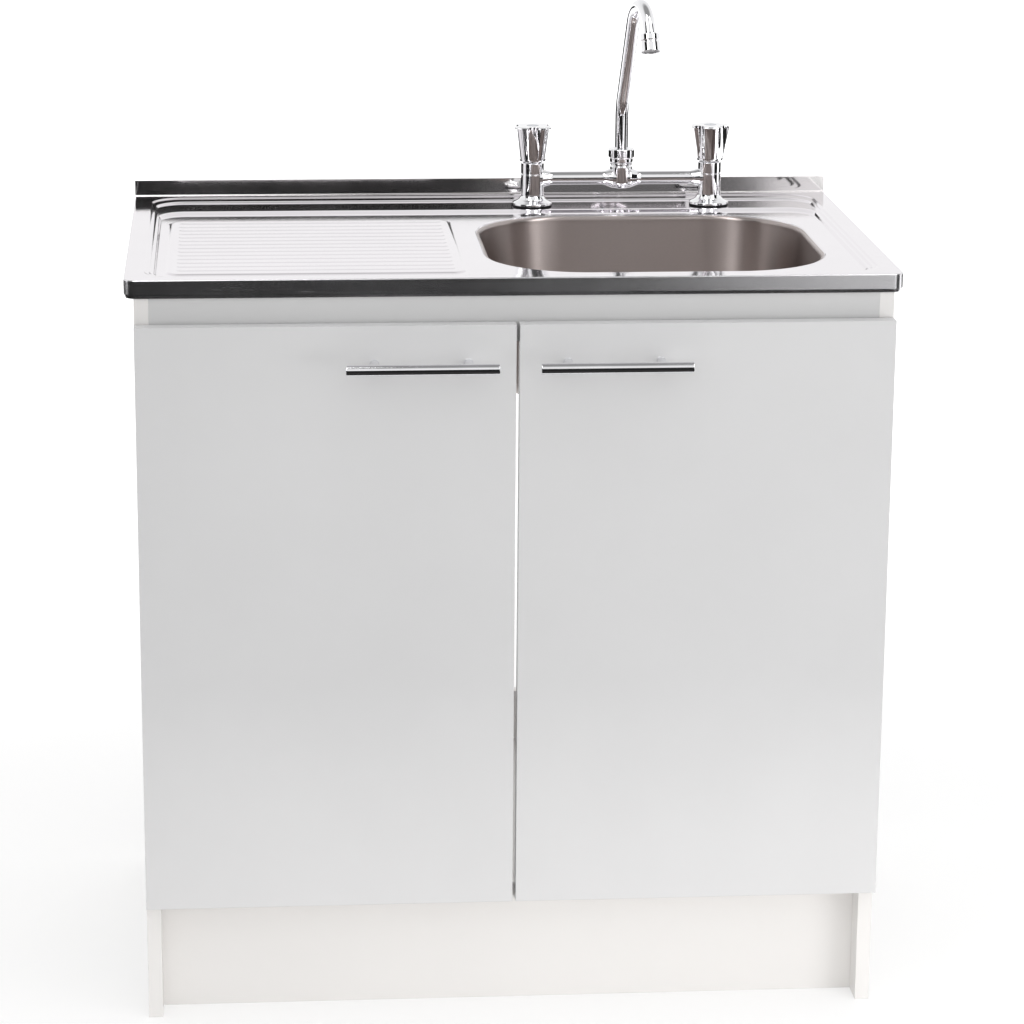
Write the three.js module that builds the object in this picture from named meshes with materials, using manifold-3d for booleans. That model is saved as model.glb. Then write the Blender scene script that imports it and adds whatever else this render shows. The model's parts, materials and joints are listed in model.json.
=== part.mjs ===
// Kitchen sink unit: a pressed steel sink top with drainer and bowl, a bridge mixer with two
// lobed knobs and a swivelling spout, on a two-door cabinet with concealed hinges.
// Millimetres, +Z up, the doors face -Y. While the parts are made, the origin is on the floor
// under the middle of the sink top; at the end the whole unit is centred on its own depth.

import * as THREE from 'three';
import { mergeVertices } from 'three/addons/utils/BufferGeometryUtils.js';
import Module from 'manifold-3d';

const wasm = await Module();
wasm.setup();

// ---------------------------------------------------------------- driving dimensions

// Sink top
const topWidth = 800;
const topDepth = 500;
const sheet = 1;                 // steel sheet of the top and the bowl
const apronHeight = 19;
const apronTuck = 1;             // how far the apron's lower edge turns in
const tuckHeight = 3;
const rimBend = 1.2;             // bend between rim and apron
const cornerRadius = 13;         // front corners, in plan
const backCornerRadius = 0.5;
const upstandHeight = 18;        // above the rim
const upstandThickness = 2;      // folded double
const rimSide = 19;              // flat rim round the pressed recess
const rimFront = 15;
const rimBack = 15;
const recessRadius = 35;
const channelDepth = 1.2;        // first step down, to the channel before the upstand
const channelRun = 4;
const channelWidth = 17;
const ledgeDepth = 1.8;          // second step, to the ledge that the mixer stands on
const ledgeRun = 6;
const ledgeWidth = 48;
const floorDepth = 3;            // third step, to the floor
const floorRun = 14;
const stepRunSide = 3.5;         // every step's run at the sides and the front
const stepFlatSide = 1.5;        // and the flat that follows it there

// Drainer, a raised field with ribs that run side to side
const drainerLeft = 40;          // from the left edge of the top to the field
const drainerBowlGap = 24;       // between the field and the bowl's opening
const drainerFront = 52;         // from the front edge of the top to the field
const drainerBack = 140;         // and from its back edge
const drainerRise = 1.5;
const drainerRun = 6;
const drainerRadius = 16;
const ribPitch = 20.5;
const ribMargin = 18;            // least room from the first rib's middle to the field's edge
const ribInset = 12;             // rib's end from the end of the field
const ribWidth = 9;
const ribRise = 1.4;
const ribRun = 2.6;              // width of a rib's sloping flank

// Bowl
const bowlWidth = 364;
const bowlFromRight = 58;        // from the right edge of the top to the bowl's opening
const bowlFromFront = 55;
const bowlFromBack = 115;        // from the back edge of the top, which leaves the mixer its room
const bowlRadius = 105;          // corners, in plan
const bowlDepth = 150;
const bowlFlange = 8;            // welded under the sink top
const bowlTaper = 9;             // how much each wall leans in
const bowlLipRadius = 4;
const bowlFloorRadius = 34;      // between wall and floor
const bowlFall = 4;              // the floor drops this much to the waste

// Basket waste
const wasteSeatRadius = 58;
const wasteSeatDepth = 3;
const wasteSeatBevel = 3;        // slope round the seat
const wasteHoleRadius = 45;
const wasteFlangeRadius = 56;
const wasteFlangeThickness = 2;
const wasteFlangeDish = 0.6;     // how much the flange's rim lies lower
const wasteCupRadius = 43;
const wasteCupDepth = 46;
const wasteHeel = 8;             // slant between the cup's wall and floor
const wasteWall = 1.6;
const outletRadius = 19;
const outletLength = 22;
const outletCone = 5;            // how much wider the outlet starts
const crossBarWidth = 2.4;
const crossBarDepth = 2.8;
const tailWall = 1.2;
const tailLength = 100;
const tailOverlap = 10;          // over the outlet
const tailNutRadius = 26;
const tailNutHeight = 16;
const tailNutOverlap = 2;        // above the tail's end
const gasketThickness = 3;
const locknutRadius = 53;
const locknutHeight = 12;
const lugCount = 6;
const lugReach = 4;
const lugWidth = 10;
const basketRadius = 39;
const basketDepth = 34;
const basketWall = 1.2;
const basketHeel = 6;
const basketHoles = 8;
const basketHoleRadius = 2.4;
const basketHoleHeight = 18.7;   // above the basket's floor
const basketFloorHoleReach = 27;
const basketRimRadius = 41;
const basketShaftRadius = 2.2;
const basketNeckRadius = 3.2;
const basketKnobRadius = 9;
const basketKnobHeight = 12;
const basketKnobDrop = 2;        // below the basket's rim
const stopperRadius = 26;
const stopperThickness = 5;

// Cabinet
const board = 15;
const topOverhang = 10;          // the top beyond the cabinet, each side
const cabinetHeight = 797;
const cabinetFromWall = 12;      // cabinet back to the top's back edge
const railHeight = 60;
const plinthHeight = 130;
const plinthSetback = 32;

// Doors and handles
const doorThickness = 15;
const doorStandOff = 2;          // air between cabinet front and door
const doorCentreGap = 3.5;
const doorDrop = 39;             // door top below the cabinet's top edge
const handleLength = 156;
const handleCentres = 96;
const handleDiameter = 12;
const handlePostDiameter = 9;
const handleReach = 30;          // door face to bar axis
const handleDrop = 40;           // door top to bar axis
const handleInset = 21;          // bar's inner end to the unit's centre line
const handleScrewRadius = 1.9;
const handleScrewHeadRadius = 4;
const handleScrewHeadHeight = 2;

// Concealed hinges
const hingeFromEnd = 100;        // door end to hinge centre
const cupRadius = 17.5;
const cupDepth = 11.5;
const cupCentre = 22.5;          // door edge to cup centre
const cupWall = 1;
const cupFlangeThickness = 1.2;
const cupFlangeWidth = 16;
const cupScrewSpacing = 48;
const linkPinInset = 16.64;      // door edge to the pin that the link turns on
const linkPinDepth = 5.45;       // door's inner face to that pin
const linkLength = 17.35;
const linkRise = 3;              // crank of the link
const linkThickness = 1.8;
const linkWidth = 9;
const linkEyeRadius = 2.8;
const linkEndRadius = 2.2;       // its free end, and the hole there
const linkEndBore = 1.2;
const pinRadius = 1.5;
const armWidth = 16;
const armHeight = 7;
const armWall = 1.5;
const armLength = 62;            // behind the cabinet's front edge
const armNoseStart = 12;
const armSlotWidth = 6;
const plateThickness = 3;
const plateLength = 50;          // up and down
const plateWidth = 24;
const plateFromFront = 37;       // cabinet front edge to plate centre
const ribLead = 4;               // the plate's rib in front of the wings
const ribTrail = 8;              // and behind them
const plateScrewSpacing = 32;
const hingeScrewRadius = 1.8;
const hingeScrewHeadRadius = 3.6;
const hingeScrewHeadHeight = 0.5;
const hingeScrewLength = 11;

// Mixer: heights are above the tap ledge of the sink top
const tapFromRight = 246;        // right edge of the top to the mixer's middle
const tapSpacing = 203.2;
const tapHoleRadius = 11.5;
const flangeRadius = 22.5;
const flangeHeight = 7;
const flangeEdge = 1.6;
const tapGasketThickness = 2;
const pillarRadius = 13.25;
const pillarHeight = 50.6;
const pillarFillet = 4;          // where the pillar meets its flange
const pillarMouthStep = 1.2;
const shankRadius = 10.4;
const shankLength = 50;
const inletRadius = 6;
const backnutRadius = 16;
const backnutHeight = 8;
const bridgeRadius = 7.75;
const bridgeHeight = 31.5;
const bridgeFlare = 4;
const bridgeFlareLength = 9;
const bridgeBore = 4.5;
const hubRadius = 13;
const hubBottom = 19;
const hubTop = 49;
const hubCurve = 8;              // rounding under the hub
const hubGroove = 1.4;
const spigotRadius = 10.8;
const spigotHeight = 9;
const spoutNutRadius = 15;
const spoutNutTop = 65.6;
const spoutNutHeight = 10;
const spoutNutRoof = 2.4;        // the part of the nut that holds the spout down
const spoutNutEdge = 1.2;
const spoutCollarRadius = 13.4;

// Valve and knob
const bonnetRadius = 9.2;
const bonnetDepth = 18;          // how far it screws into the pillar
const seatRoom = 4;              // water space under the bonnet
const bonnetHeadRadius = 11.2;
const bonnetHeadHeight = 9;
const spindleRadius = 4;
const spindleTop = 76;
const knobBottom = 52;
const knobTop = 92;
const knobBottomRadius = 15.2;
const knobTopRadius = 19.2;
const knobLobe = 2.9;            // lobe height at the top of the knob
const knobLobes = 4;
const knobSkirtRadius = 12.6;
const knobSkirtDepth = 10;
const knobEdge = 2.5;            // rounding of its top edge
const indexRadius = 6.2;
const indexThickness = 2.6;
const knobWellDepth = 8;
const knobScrewRadius = 1.9;
const knobScrewHeadRadius = 3.6;
const knobScrewHeadHeight = 2.4;
const knobScrewLength = 9;
const leftKnobTurn = 45;         // degrees, as the tap stands

// Spout, in its own upright plane
const spoutRadius = 7.5;
const spoutWall = 1.1;
const spoutBendHeight = 101.6;   // above the ledge, where it starts to lean
const spoutLean = 21.7;          // degrees
const spoutLeanRadius = 60;
const spoutCrestHeight = 235;
const spoutArcRadius = 34;
const spoutNozzleTilt = 20;      // degrees off straight down
const spoutDrop = 12;            // straight tube past the arc
const spoutTailDepth = 12;       // how far the tube reaches into the hub
const spoutSwing = 9.4;          // degrees, as the tap stands
const aeratorRadius = 11.5;
const aeratorLength = 20;
const aeratorOverlap = 7;
const aeratorWall = 1.6;
const aeratorGroove = 0.9;
const aeratorScreenThickness = 3;
const aeratorScreenInset = 2;
const aeratorHoles = 6;
const aeratorHoleRadius = 1.3;
const aeratorHoleReach = 5.4;

// Clearances
const slack = 0.3;               // round every pin, shank and screw
const seat = 0.3;                // between a piece and the curved one it is cut to
const footGap = 0.5;             // cut ends that meet no other piece
const apronGap = 1;              // cabinet front behind the apron's tucked edge

// Facets round a full turn
const fineSides = 20;
const plainSides = 14;
const screwSides = 6;
const cornerSteps = 4;           // facets in a quarter turn of the sink's outlines
const bowlSteps = 5;

// ---------------------------------------------------------------- materials

const steel = { color: 0xd9d7da, roughness: 0.22, metalness: 1 };
const satinSteel = { color: 0xb3aba6, roughness: 0.42, metalness: 1 };
const chrome = { color: 0xe8e9ec, roughness: 0.05, metalness: 1 };
const nickel = { color: 0xc4c5c7, roughness: 0.3, metalness: 1 };
const zinc = { color: 0xb9bbbd, roughness: 0.38, metalness: 1 };
const brass = { color: 0xc6a25a, roughness: 0.3, metalness: 1 };
const melamine = { color: 0xf0f0f2, roughness: 0.45, metalness: 0 };
const rubber = { color: 0x1d1d1f, roughness: 0.8, metalness: 0 };
const plastic = { color: 0xe9e9ea, roughness: 0.5, metalness: 0 };

// ---------------------------------------------------------------- solids and helpers

const radians = THREE.MathUtils.degToRad;

// Signed volume of an indexed closed surface; negative when its faces point inwards.
function signedVolume(positions, index) {
  const [a, b, c] = [new THREE.Vector3(), new THREE.Vector3(), new THREE.Vector3()];
  let volume = 0;
  for (let i = 0; i < index.length; i += 3) {
    a.fromArray(positions, index[i] * 3);
    b.fromArray(positions, index[i + 1] * 3);
    c.fromArray(positions, index[i + 2] * 3);
    volume += a.dot(b.cross(c)) / 6;
  }
  return volume;
}

// A closed geometry with shared corners merged, collapsed triangles dropped and faces outwards.
function closed(geometry) {
  const bare = geometry.clone();
  bare.deleteAttribute('normal');
  bare.deleteAttribute('uv');
  const merged = mergeVertices(bare, 1e-4);
  const source = merged.index.array;
  const index = [];
  for (let i = 0; i < source.length; i += 3) {
    const [a, b, c] = [source[i], source[i + 1], source[i + 2]];
    if (a !== b && b !== c && c !== a) index.push(a, b, c);
  }
  if (signedVolume(merged.attributes.position.array, index) < 0) {
    for (let i = 0; i < index.length; i += 3) [index[i], index[i + 1]] = [index[i + 1], index[i]];
  }
  merged.setIndex(index);
  return merged;
}

function toSolid(geometry) {
  const ready = closed(geometry);
  return new wasm.Manifold(new wasm.Mesh({
    numProp: 3,
    vertProperties: new Float32Array(ready.attributes.position.array),
    triVerts: new Uint32Array(ready.index.array),
  }));
}

function toGeometry(solid) {
  const mesh = solid.getMesh();
  const geometry = new THREE.BufferGeometry();
  geometry.setAttribute('position', new THREE.BufferAttribute(new Float32Array(mesh.vertProperties), 3));
  geometry.setIndex(Array.from(mesh.triVerts));
  return geometry;
}

function join(...geometries) {
  return toGeometry(geometries.map(toSolid).reduce((sum, piece) => sum.add(piece)));
}

function cut(geometry, ...tools) {
  return toGeometry(tools.map(toSolid).reduce((rest, tool) => rest.subtract(tool), toSolid(geometry)));
}

function block(x0, x1, y0, y1, z0, z1) {
  const geometry = new THREE.BoxGeometry(x1 - x0, y1 - y0, z1 - z0);
  return geometry.translate((x0 + x1) / 2, (y0 + y1) / 2, (z0 + z1) / 2);
}

// A round bar along Z; rod(...).rotateX or rotateY turns it before it is moved.
function rod(radius, z0, z1, sides = plainSides) {
  const geometry = new THREE.CylinderGeometry(radius, radius, z1 - z0, sides);
  return geometry.rotateX(Math.PI / 2).translate(0, 0, (z0 + z1) / 2);
}

// A bar along -Y from y0 to y1 at (x, z).
function rodAlongY(radius, x, z, y0, y1, sides = plainSides) {
  return rod(radius, y0, y1, sides).rotateX(-Math.PI / 2).translate(x, 0, z);
}

function rodAlongX(radius, y, z, x0, x1, sides = plainSides) {
  return rod(radius, x0, x1, sides).rotateY(Math.PI / 2).translate(0, y, z);
}

// Turns a closed [radius, height] outline about Z.
function revolve(outline, sides = fineSides) {
  const points = outline.map(([radius, height]) => new THREE.Vector2(radius, height));
  return new THREE.LatheGeometry(points, sides).rotateX(Math.PI / 2);
}

// A tube or washer about Z.
function ring(inner, outer, z0, z1, sides = fineSides) {
  return revolve([[inner, z0], [outer, z0], [outer, z1], [inner, z1], [inner, z0]], sides);
}

function hexagon(acrossCornersRadius, bore, z0, z1) {
  const body = new THREE.CylinderGeometry(acrossCornersRadius, acrossCornersRadius, z1 - z0, 6);
  body.rotateX(Math.PI / 2).translate(0, 0, (z0 + z1) / 2);
  return cut(body, rod(bore, z0 - 1, z1 + 1));
}

// A rectangle with rounded corners as a ring of points at height z.
function roundedRing(x0, x1, y0, y1, z, frontRadius, backRadius = frontRadius, steps = cornerSteps) {
  const corners = [
    [x1 - frontRadius, y0 + frontRadius, frontRadius, -90],
    [x1 - backRadius, y1 - backRadius, backRadius, 0],
    [x0 + backRadius, y1 - backRadius, backRadius, 90],
    [x0 + frontRadius, y0 + frontRadius, frontRadius, 180],
  ];
  return corners.flatMap(([x, y, radius, start]) => Array.from({ length: steps + 1 }, (_, i) => {
    const angle = radians(start + (90 * i) / steps);
    return new THREE.Vector3(x + radius * Math.cos(angle), y + radius * Math.sin(angle), z);
  }));
}

// Skins a list of rings of equal length. A looped loft joins its last ring to its first;
// otherwise both ends are closed by a flat fan.
function loft(rings, looped = false) {
  const count = rings[0].length;
  const points = rings.flat();
  const index = [];
  const last = looped ? rings.length : rings.length - 1;
  for (let r = 0; r < last; r += 1) {
    const [low, high] = [r * count, ((r + 1) % rings.length) * count];
    for (let i = 0; i < count; i += 1) {
      const next = (i + 1) % count;
      index.push(low + i, low + next, high + next, low + i, high + next, high + i);
    }
  }
  if (!looped) {
    [[0, true], [rings.length - 1, false]].forEach(([r, turned]) => {
      const centre = points.length;
      const middle = rings[r].reduce((sum, p) => sum.add(p), new THREE.Vector3());
      points.push(middle.divideScalar(count));
      for (let i = 0; i < count; i += 1) {
        const [a, b] = [r * count + i, r * count + ((i + 1) % count)];
        if (turned) index.push(centre, b, a);
        else index.push(centre, a, b);
      }
    });
  }
  const geometry = new THREE.BufferGeometry().setFromPoints(points);
  geometry.setIndex(index);
  return closed(geometry);
}

const unit = new THREE.Group();
unit.name = 'kitchen_sink_unit';

function addPart(name, geometry, finish, parent = unit) {
  const mesh = new THREE.Mesh(closed(geometry), new THREE.MeshStandardMaterial(finish));
  mesh.name = name;
  parent.add(mesh);
  return mesh;
}

// ---------------------------------------------------------------- levels and lines shared by pieces

const front = -topDepth / 2;
const back = topDepth / 2;
const floorLevel = cabinetHeight + sheet;          // top face of the recess floor
const ledgeLevel = floorLevel + floorDepth;
const rimLevel = ledgeLevel + ledgeDepth + channelDepth;
const cabinetFront = front + apronTuck + sheet + apronGap;
const cabinetBack = back - cabinetFromWall;
const cabinetSide = topWidth / 2 - topOverhang;
const innerSide = cabinetSide - board;
const doorBack = cabinetFront - doorStandOff;
const doorFace = doorBack - doorThickness;
const doorBottom = plinthHeight;
const doorTop = cabinetHeight - doorDrop;
const barY = doorFace - handleReach;
const barZ = doorTop - handleDrop;
const bowlLength = topDepth - bowlFromFront - bowlFromBack;
const bowlCentreX = topWidth / 2 - bowlFromRight - bowlWidth / 2;
const bowlCentreY = front + bowlFromFront + bowlLength / 2;
const tapCentreX = topWidth / 2 - tapFromRight;
const tapY = back - rimBack - channelRun - channelWidth - ledgeRun - ledgeWidth / 2;
const drainerEnds = {
  left: drainerLeft - topWidth / 2,
  right: bowlCentreX - bowlWidth / 2 - drainerBowlGap,
  near: front + drainerFront,
  far: back - drainerBack,
};
const hingeHeights = [doorBottom + hingeFromEnd, doorTop - hingeFromEnd];
const railBottom = cabinetHeight - railHeight;

// ---------------------------------------------------------------- sink top

// The pressed recess goes down from the rim in three steps, with flats between them. Its lines
// are rings, set in from the edges of the top by their side, front and back.
function recessLines() {
  const steps = [[channelDepth, channelRun, channelWidth], [ledgeDepth, ledgeRun, ledgeWidth]];
  const further = (line, side, rear, down) => ({
    side: line.side + side, front: line.front + side, back: line.back + rear, level: line.level - down,
  });
  const lines = [{ side: rimSide, front: rimFront, back: rimBack, level: rimLevel }];
  steps.forEach(([depth, run, flat]) => {
    const foot = further(lines.at(-1), stepRunSide, run, depth);
    lines.push(foot, further(foot, stepFlatSide, flat, 0));
  });
  return [...lines, further(lines.at(-1), stepRunSide, floorRun, floorDepth)];
}

function recessRing(line, drop = 0, grow = 0) {
  const half = topWidth / 2 - line.side + grow;
  const radius = recessRadius - (line.side - rimSide) / 2 + grow;
  const [near, far] = [front + line.front - grow, back - line.back + grow];
  return roundedRing(-half, half, near, far, line.level - drop, radius);
}

function edgeRing(inset, level) {
  const half = topWidth / 2 - inset;
  const radius = cornerRadius - inset;
  return roundedRing(-half, half, front + inset, back - inset, level, radius, backCornerRadius);
}

// A pressed bump with sloping flanks, from under the sheet to its top.
function bump(x0, x1, y0, y1, level, rise, run, radius, steps) {
  const foot = roundedRing(x0, x1, y0, y1, level - sheet / 2, radius, radius, steps);
  const inner = radius - run;
  const head = roundedRing(x0 + run, x1 - run, y0 + run, y1 - run, level + rise, inner, inner, steps);
  return loft([foot, head]);
}

// Presses a bump into the sheet: it rises above it and leaves its hollow below.
function press(sheetSolid, piece) {
  return sheetSolid.add(toSolid(piece)).subtract(toSolid(piece.clone().translate(0, 0, -sheet)));
}

function ribBumps(level) {
  const { left, right, near, far } = drainerEnds;
  const ribCount = Math.floor((far - near - 2 * ribMargin) / ribPitch) + 1;
  const firstY = (near + far - (ribCount - 1) * ribPitch) / 2;
  const half = ribWidth / 2;
  return Array.from({ length: ribCount }, (_, i) => {
    const y = firstY + i * ribPitch;
    const [x0, x1] = [left + ribInset, right - ribInset];
    return bump(x0, x1, y - half, y + half, level, ribRise, ribRun, half - 0.01, 2);
  });
}

function drainerField() {
  const { left, right, near, far } = drainerEnds;
  return bump(left, right, near, far, floorLevel, drainerRise, drainerRun, drainerRadius);
}

function bowlRing(inset, level) {
  const [halfX, halfY] = [bowlWidth / 2 - inset, bowlLength / 2 - inset];
  return roundedRing(
    bowlCentreX - halfX, bowlCentreX + halfX, bowlCentreY - halfY, bowlCentreY + halfY,
    level, bowlRadius - inset, bowlRadius - inset, bowlSteps,
  );
}

function sinkDeck() {
  const lines = recessLines();
  const pan = loft([
    ...lines.map((line) => recessRing(line, sheet, sheet / 2)).reverse(),
    edgeRing(rimBend, rimLevel - sheet),
    edgeRing(sheet, rimLevel - rimBend - sheet),
    edgeRing(sheet, rimLevel - apronHeight + tuckHeight),
    edgeRing(apronTuck + sheet, rimLevel - apronHeight),
    edgeRing(apronTuck, rimLevel - apronHeight),
    edgeRing(0, rimLevel - apronHeight + tuckHeight),
    edgeRing(0, rimLevel - rimBend),
    edgeRing(rimBend, rimLevel),
    ...lines.map((line) => recessRing(line)),
  ]);
  const upstand = block(
    -topWidth / 2, topWidth / 2, back - upstandThickness, back,
    rimLevel - rimBend - sheet, rimLevel + upstandHeight,
  );
  const pressed = press(toSolid(pan), drainerField());
  const ribbed = ribBumps(floorLevel + drainerRise).reduce((sum, rib) => sum.add(toSolid(rib)), pressed);
  const bowlHole = loft([bowlRing(0, floorLevel - 2 * sheet), bowlRing(0, rimLevel)]);
  const tapHoles = tapAxes().map((x) => (
    rod(tapHoleRadius, floorLevel - sheet, rimLevel).translate(x, tapY, 0)
  ));
  const whole = ribbed.add(toSolid(upstand));
  return toGeometry([bowlHole, ...tapHoles].reduce((rest, tool) => rest.subtract(toSolid(tool)), whole));
}

// The bowl hangs by a flange welded under the sheet. Its rings run down the inside to the
// waste hole and up the outside again.
const bowlTop = floorLevel - sheet;
const bowlFloor = bowlTop - bowlDepth;
const wasteSeat = bowlFloor - bowlFall - wasteSeatDepth;

function wasteRing(radius, level) {
  return roundedRing(
    bowlCentreX - radius, bowlCentreX + radius, bowlCentreY - radius, bowlCentreY + radius,
    level, radius, radius, bowlSteps,
  );
}

function bowlSide(thickness) {
  const arc = (start, end, radius, steps, place) => Array.from({ length: steps + 1 }, (_, i) => {
    const angle = radians(start + ((end - start) * i) / steps);
    return place(radius * Math.cos(angle), radius * Math.sin(angle));
  });
  const lip = arc(90, 0, bowlLipRadius - thickness, 2, (x, z) => (
    bowlRing(x, bowlTop - bowlLipRadius + z)
  )).slice(1);
  const inner = bowlFloorRadius + thickness;
  const heel = arc(0, 90, inner, 3, (x, z) => (
    bowlRing(bowlLipRadius + bowlTaper + bowlFloorRadius - x, bowlFloor + bowlFloorRadius - z)
  ));
  const fall = [
    wasteRing(wasteSeatRadius + wasteSeatBevel + thickness, bowlFloor - bowlFall - thickness),
    wasteRing(wasteSeatRadius + thickness, wasteSeat - thickness),
    wasteRing(wasteHoleRadius, wasteSeat - thickness),
  ];
  return [...lip, ...heel, ...fall];
}

function sinkBowl() {
  const inside = [bowlRing(-bowlFlange, bowlTop), bowlRing(0, bowlTop), ...bowlSide(0)];
  const outside = [bowlRing(-bowlFlange, bowlTop - sheet), ...bowlSide(sheet)];
  return loft([...inside, ...outside.reverse()], true);
}

// ---------------------------------------------------------------- basket waste

function placedAtWaste(geometry) {
  return geometry.translate(bowlCentreX, bowlCentreY, 0);
}

const cupFloor = wasteSeat + wasteFlangeThickness - wasteCupDepth;
const outletBottom = cupFloor - outletLength;
const gasketTop = wasteSeat - sheet;
const locknutTop = gasketTop - gasketThickness;

function wasteBody() {
  const top = wasteSeat + wasteFlangeThickness;
  const [bore, outletBore] = [wasteCupRadius - wasteWall, outletRadius - wasteWall];
  const shell = revolve([
    [bore, top - wasteFlangeThickness / 2], [wasteCupRadius + wasteWall, top],
    [wasteFlangeRadius, top - wasteFlangeDish], [wasteFlangeRadius, wasteSeat],
    [wasteCupRadius, wasteSeat], [wasteCupRadius, cupFloor + wasteHeel],
    [wasteCupRadius - wasteHeel, cupFloor - wasteWall],
    [outletRadius + outletCone, cupFloor - wasteWall], [outletRadius, cupFloor - outletCone],
    [outletRadius, outletBottom], [outletBore, outletBottom], [outletBore, cupFloor],
    [bore - wasteHeel, cupFloor], [bore, cupFloor + wasteHeel],
    [bore, top - wasteFlangeThickness / 2],
  ]);
  const half = crossBarWidth / 2;
  const barTop = cupFloor - 0.2;
  const bar = block(-outletRadius, outletRadius, -half, half, barTop - crossBarDepth, barTop);
  return placedAtWaste(join(shell, bar, bar.clone().rotateZ(Math.PI / 2)));
}

function locknut(bore, bottom) {
  const bodyRadius = locknutRadius - lugReach;
  const lug = block(bodyRadius - 2, locknutRadius, -lugWidth / 2, lugWidth / 2, bottom, locknutTop - 3);
  const lugs = Array.from({ length: lugCount }, (_, i) => lug.clone().rotateZ((2 * Math.PI * i) / lugCount));
  return join(ring(bore, bodyRadius, bottom, locknutTop), ...lugs);
}

function addWaste() {
  addPart('waste_body', wasteBody(), nickel);
  const bore = wasteCupRadius + slack;
  addPart('waste_gasket', placedAtWaste(ring(bore, locknutRadius, locknutTop, gasketTop)), rubber);
  addPart('waste_locknut', placedAtWaste(locknut(bore, locknutTop - locknutHeight)), zinc);
  const tailTop = outletBottom + tailOverlap;
  const tailBore = outletRadius + slack;
  const tailOutside = tailBore + tailWall;
  const tail = ring(tailBore, tailOutside, outletBottom - tailLength, tailTop);
  addPart('waste_tail', placedAtWaste(tail), nickel);
  const tailNutTop = tailTop + tailNutOverlap;
  const tailNut = ring(tailOutside + slack, tailNutRadius, tailNutTop - tailNutHeight, tailNutTop);
  addPart('waste_tail_nut', placedAtWaste(tailNut), zinc);
}

// The lift-out basket: a perforated cup with a rubber stopper below and a knob in the middle.
const stopperBottom = cupFloor + slack;
const basketBase = stopperBottom + stopperThickness;
const basketRim = basketBase + basketDepth;
const basketShaftBore = basketShaftRadius + slack;

function basketCup() {
  const [base, rim, wall] = [basketBase, basketRim, basketWall];
  const heelRadius = basketRadius - basketHeel / 3;
  const floorRadius = heelRadius - basketHeel;
  return revolve([
    [0, base], [floorRadius, base], [heelRadius, base + basketHeel], [basketRadius, rim - 2],
    [basketRimRadius, rim], [basketRimRadius - 1, rim + 0.6], [basketRadius - wall, rim - 1],
    [heelRadius - wall, base + basketHeel + wall], [floorRadius - wall, base + wall], [0, base + wall],
  ]);
}

function basketBores() {
  const [base, turn] = [basketBase, (2 * Math.PI) / basketHoles];
  const below = base - 1;
  const above = base + basketWall + 1;
  const sideHoles = Array.from({ length: basketHoles }, (_, i) => (
    rod(basketHoleRadius, basketRadius - 8, basketRadius + 6, screwSides)
      .rotateY(Math.PI / 2).translate(0, 0, base + basketHoleHeight).rotateZ((i + 0.5) * turn)
  ));
  const floorHoles = Array.from({ length: basketHoles / 2 }, (_, i) => (
    rod(basketHoleRadius, below, above, screwSides)
      .translate(basketFloorHoleReach, 0, 0).rotateZ(2 * i * turn)
  ));
  return [...sideHoles, ...floorHoles, rod(basketShaftBore, below, above)];
}

function stopper() {
  const top = basketBase - seat;
  return revolve([
    [basketShaftBore, stopperBottom], [outletRadius, stopperBottom], [stopperRadius, stopperBottom + 2],
    [stopperRadius - 1, top], [basketShaftBore, top], [basketShaftBore, stopperBottom],
  ]);
}

function basketKnob() {
  const shoulder = basketBase + basketWall + seat;
  const top = basketRim - basketKnobDrop;
  const rounding = 2;
  return revolve([
    [0, stopperBottom + seat], [basketShaftRadius, stopperBottom + seat], [basketShaftRadius, shoulder],
    [basketNeckRadius + 1.3, shoulder], [basketNeckRadius, top - basketKnobHeight],
    [basketKnobRadius, top - 2 * rounding], [basketKnobRadius, top - 0.75 * rounding],
    [basketKnobRadius - rounding, top], [0, top],
  ], plainSides);
}

function addBasket() {
  addPart('basket_cup', placedAtWaste(cut(basketCup(), ...basketBores())), nickel);
  addPart('basket_stopper', placedAtWaste(stopper()), rubber);
  addPart('basket_knob', placedAtWaste(basketKnob()), nickel);
}

// ---------------------------------------------------------------- cabinet

function sidePanel(sign) {
  const panel = block(innerSide, cabinetSide, cabinetFront, cabinetBack, 0, cabinetHeight).scale(sign, 1, 1);
  const pilots = hingeHeights.flatMap((z) => [-1, 1].map((end) => {
    const y = cabinetFront + plateFromFront;
    const x = sign * innerSide;
    const depth = sign * (hingeScrewLength - plateThickness + 1);
    const [x0, x1] = [x - sign, x + depth].sort((a, b) => a - b);
    return rodAlongX(hingeScrewRadius + slack, y, z + (end * plateScrewSpacing) / 2, x0, x1, screwSides);
  }));
  return cut(panel, ...pilots);
}

function addCabinet() {
  addPart('side_panel_left', sidePanel(-1), melamine);
  addPart('side_panel_right', sidePanel(1), melamine);
  const boards = {
    bottom_panel: [cabinetFront, cabinetBack, doorBottom, doorBottom + board],
    front_rail: [cabinetFront, cabinetFront + board, railBottom, cabinetHeight],
    rear_rail_upper: [cabinetBack - board, cabinetBack, railBottom, cabinetHeight],
    rear_rail_lower: [cabinetBack - board, cabinetBack, doorBottom + board, doorBottom + board + railHeight],
    plinth: [cabinetFront + plinthSetback, cabinetFront + plinthSetback + board, 0, plinthHeight],
  };
  Object.entries(boards).forEach(([name, [y0, y1, z0, z1]]) => {
    addPart(name, block(-innerSide, innerSide, y0, y1, z0, z1), melamine);
  });
}

// ---------------------------------------------------------------- doors and handles

const doorWidth = cabinetSide - doorCentreGap / 2;
const handleX = handleInset + handleLength / 2;
const handleBoreEnd = barY + handleDiameter / 2 + 4;

function handlePostPlaces(sign) {
  return [-1, 1].map((end) => sign * handleX + (end * handleCentres) / 2);
}

function cupX(sign) {
  return sign * (cabinetSide - cupCentre);
}

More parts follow.
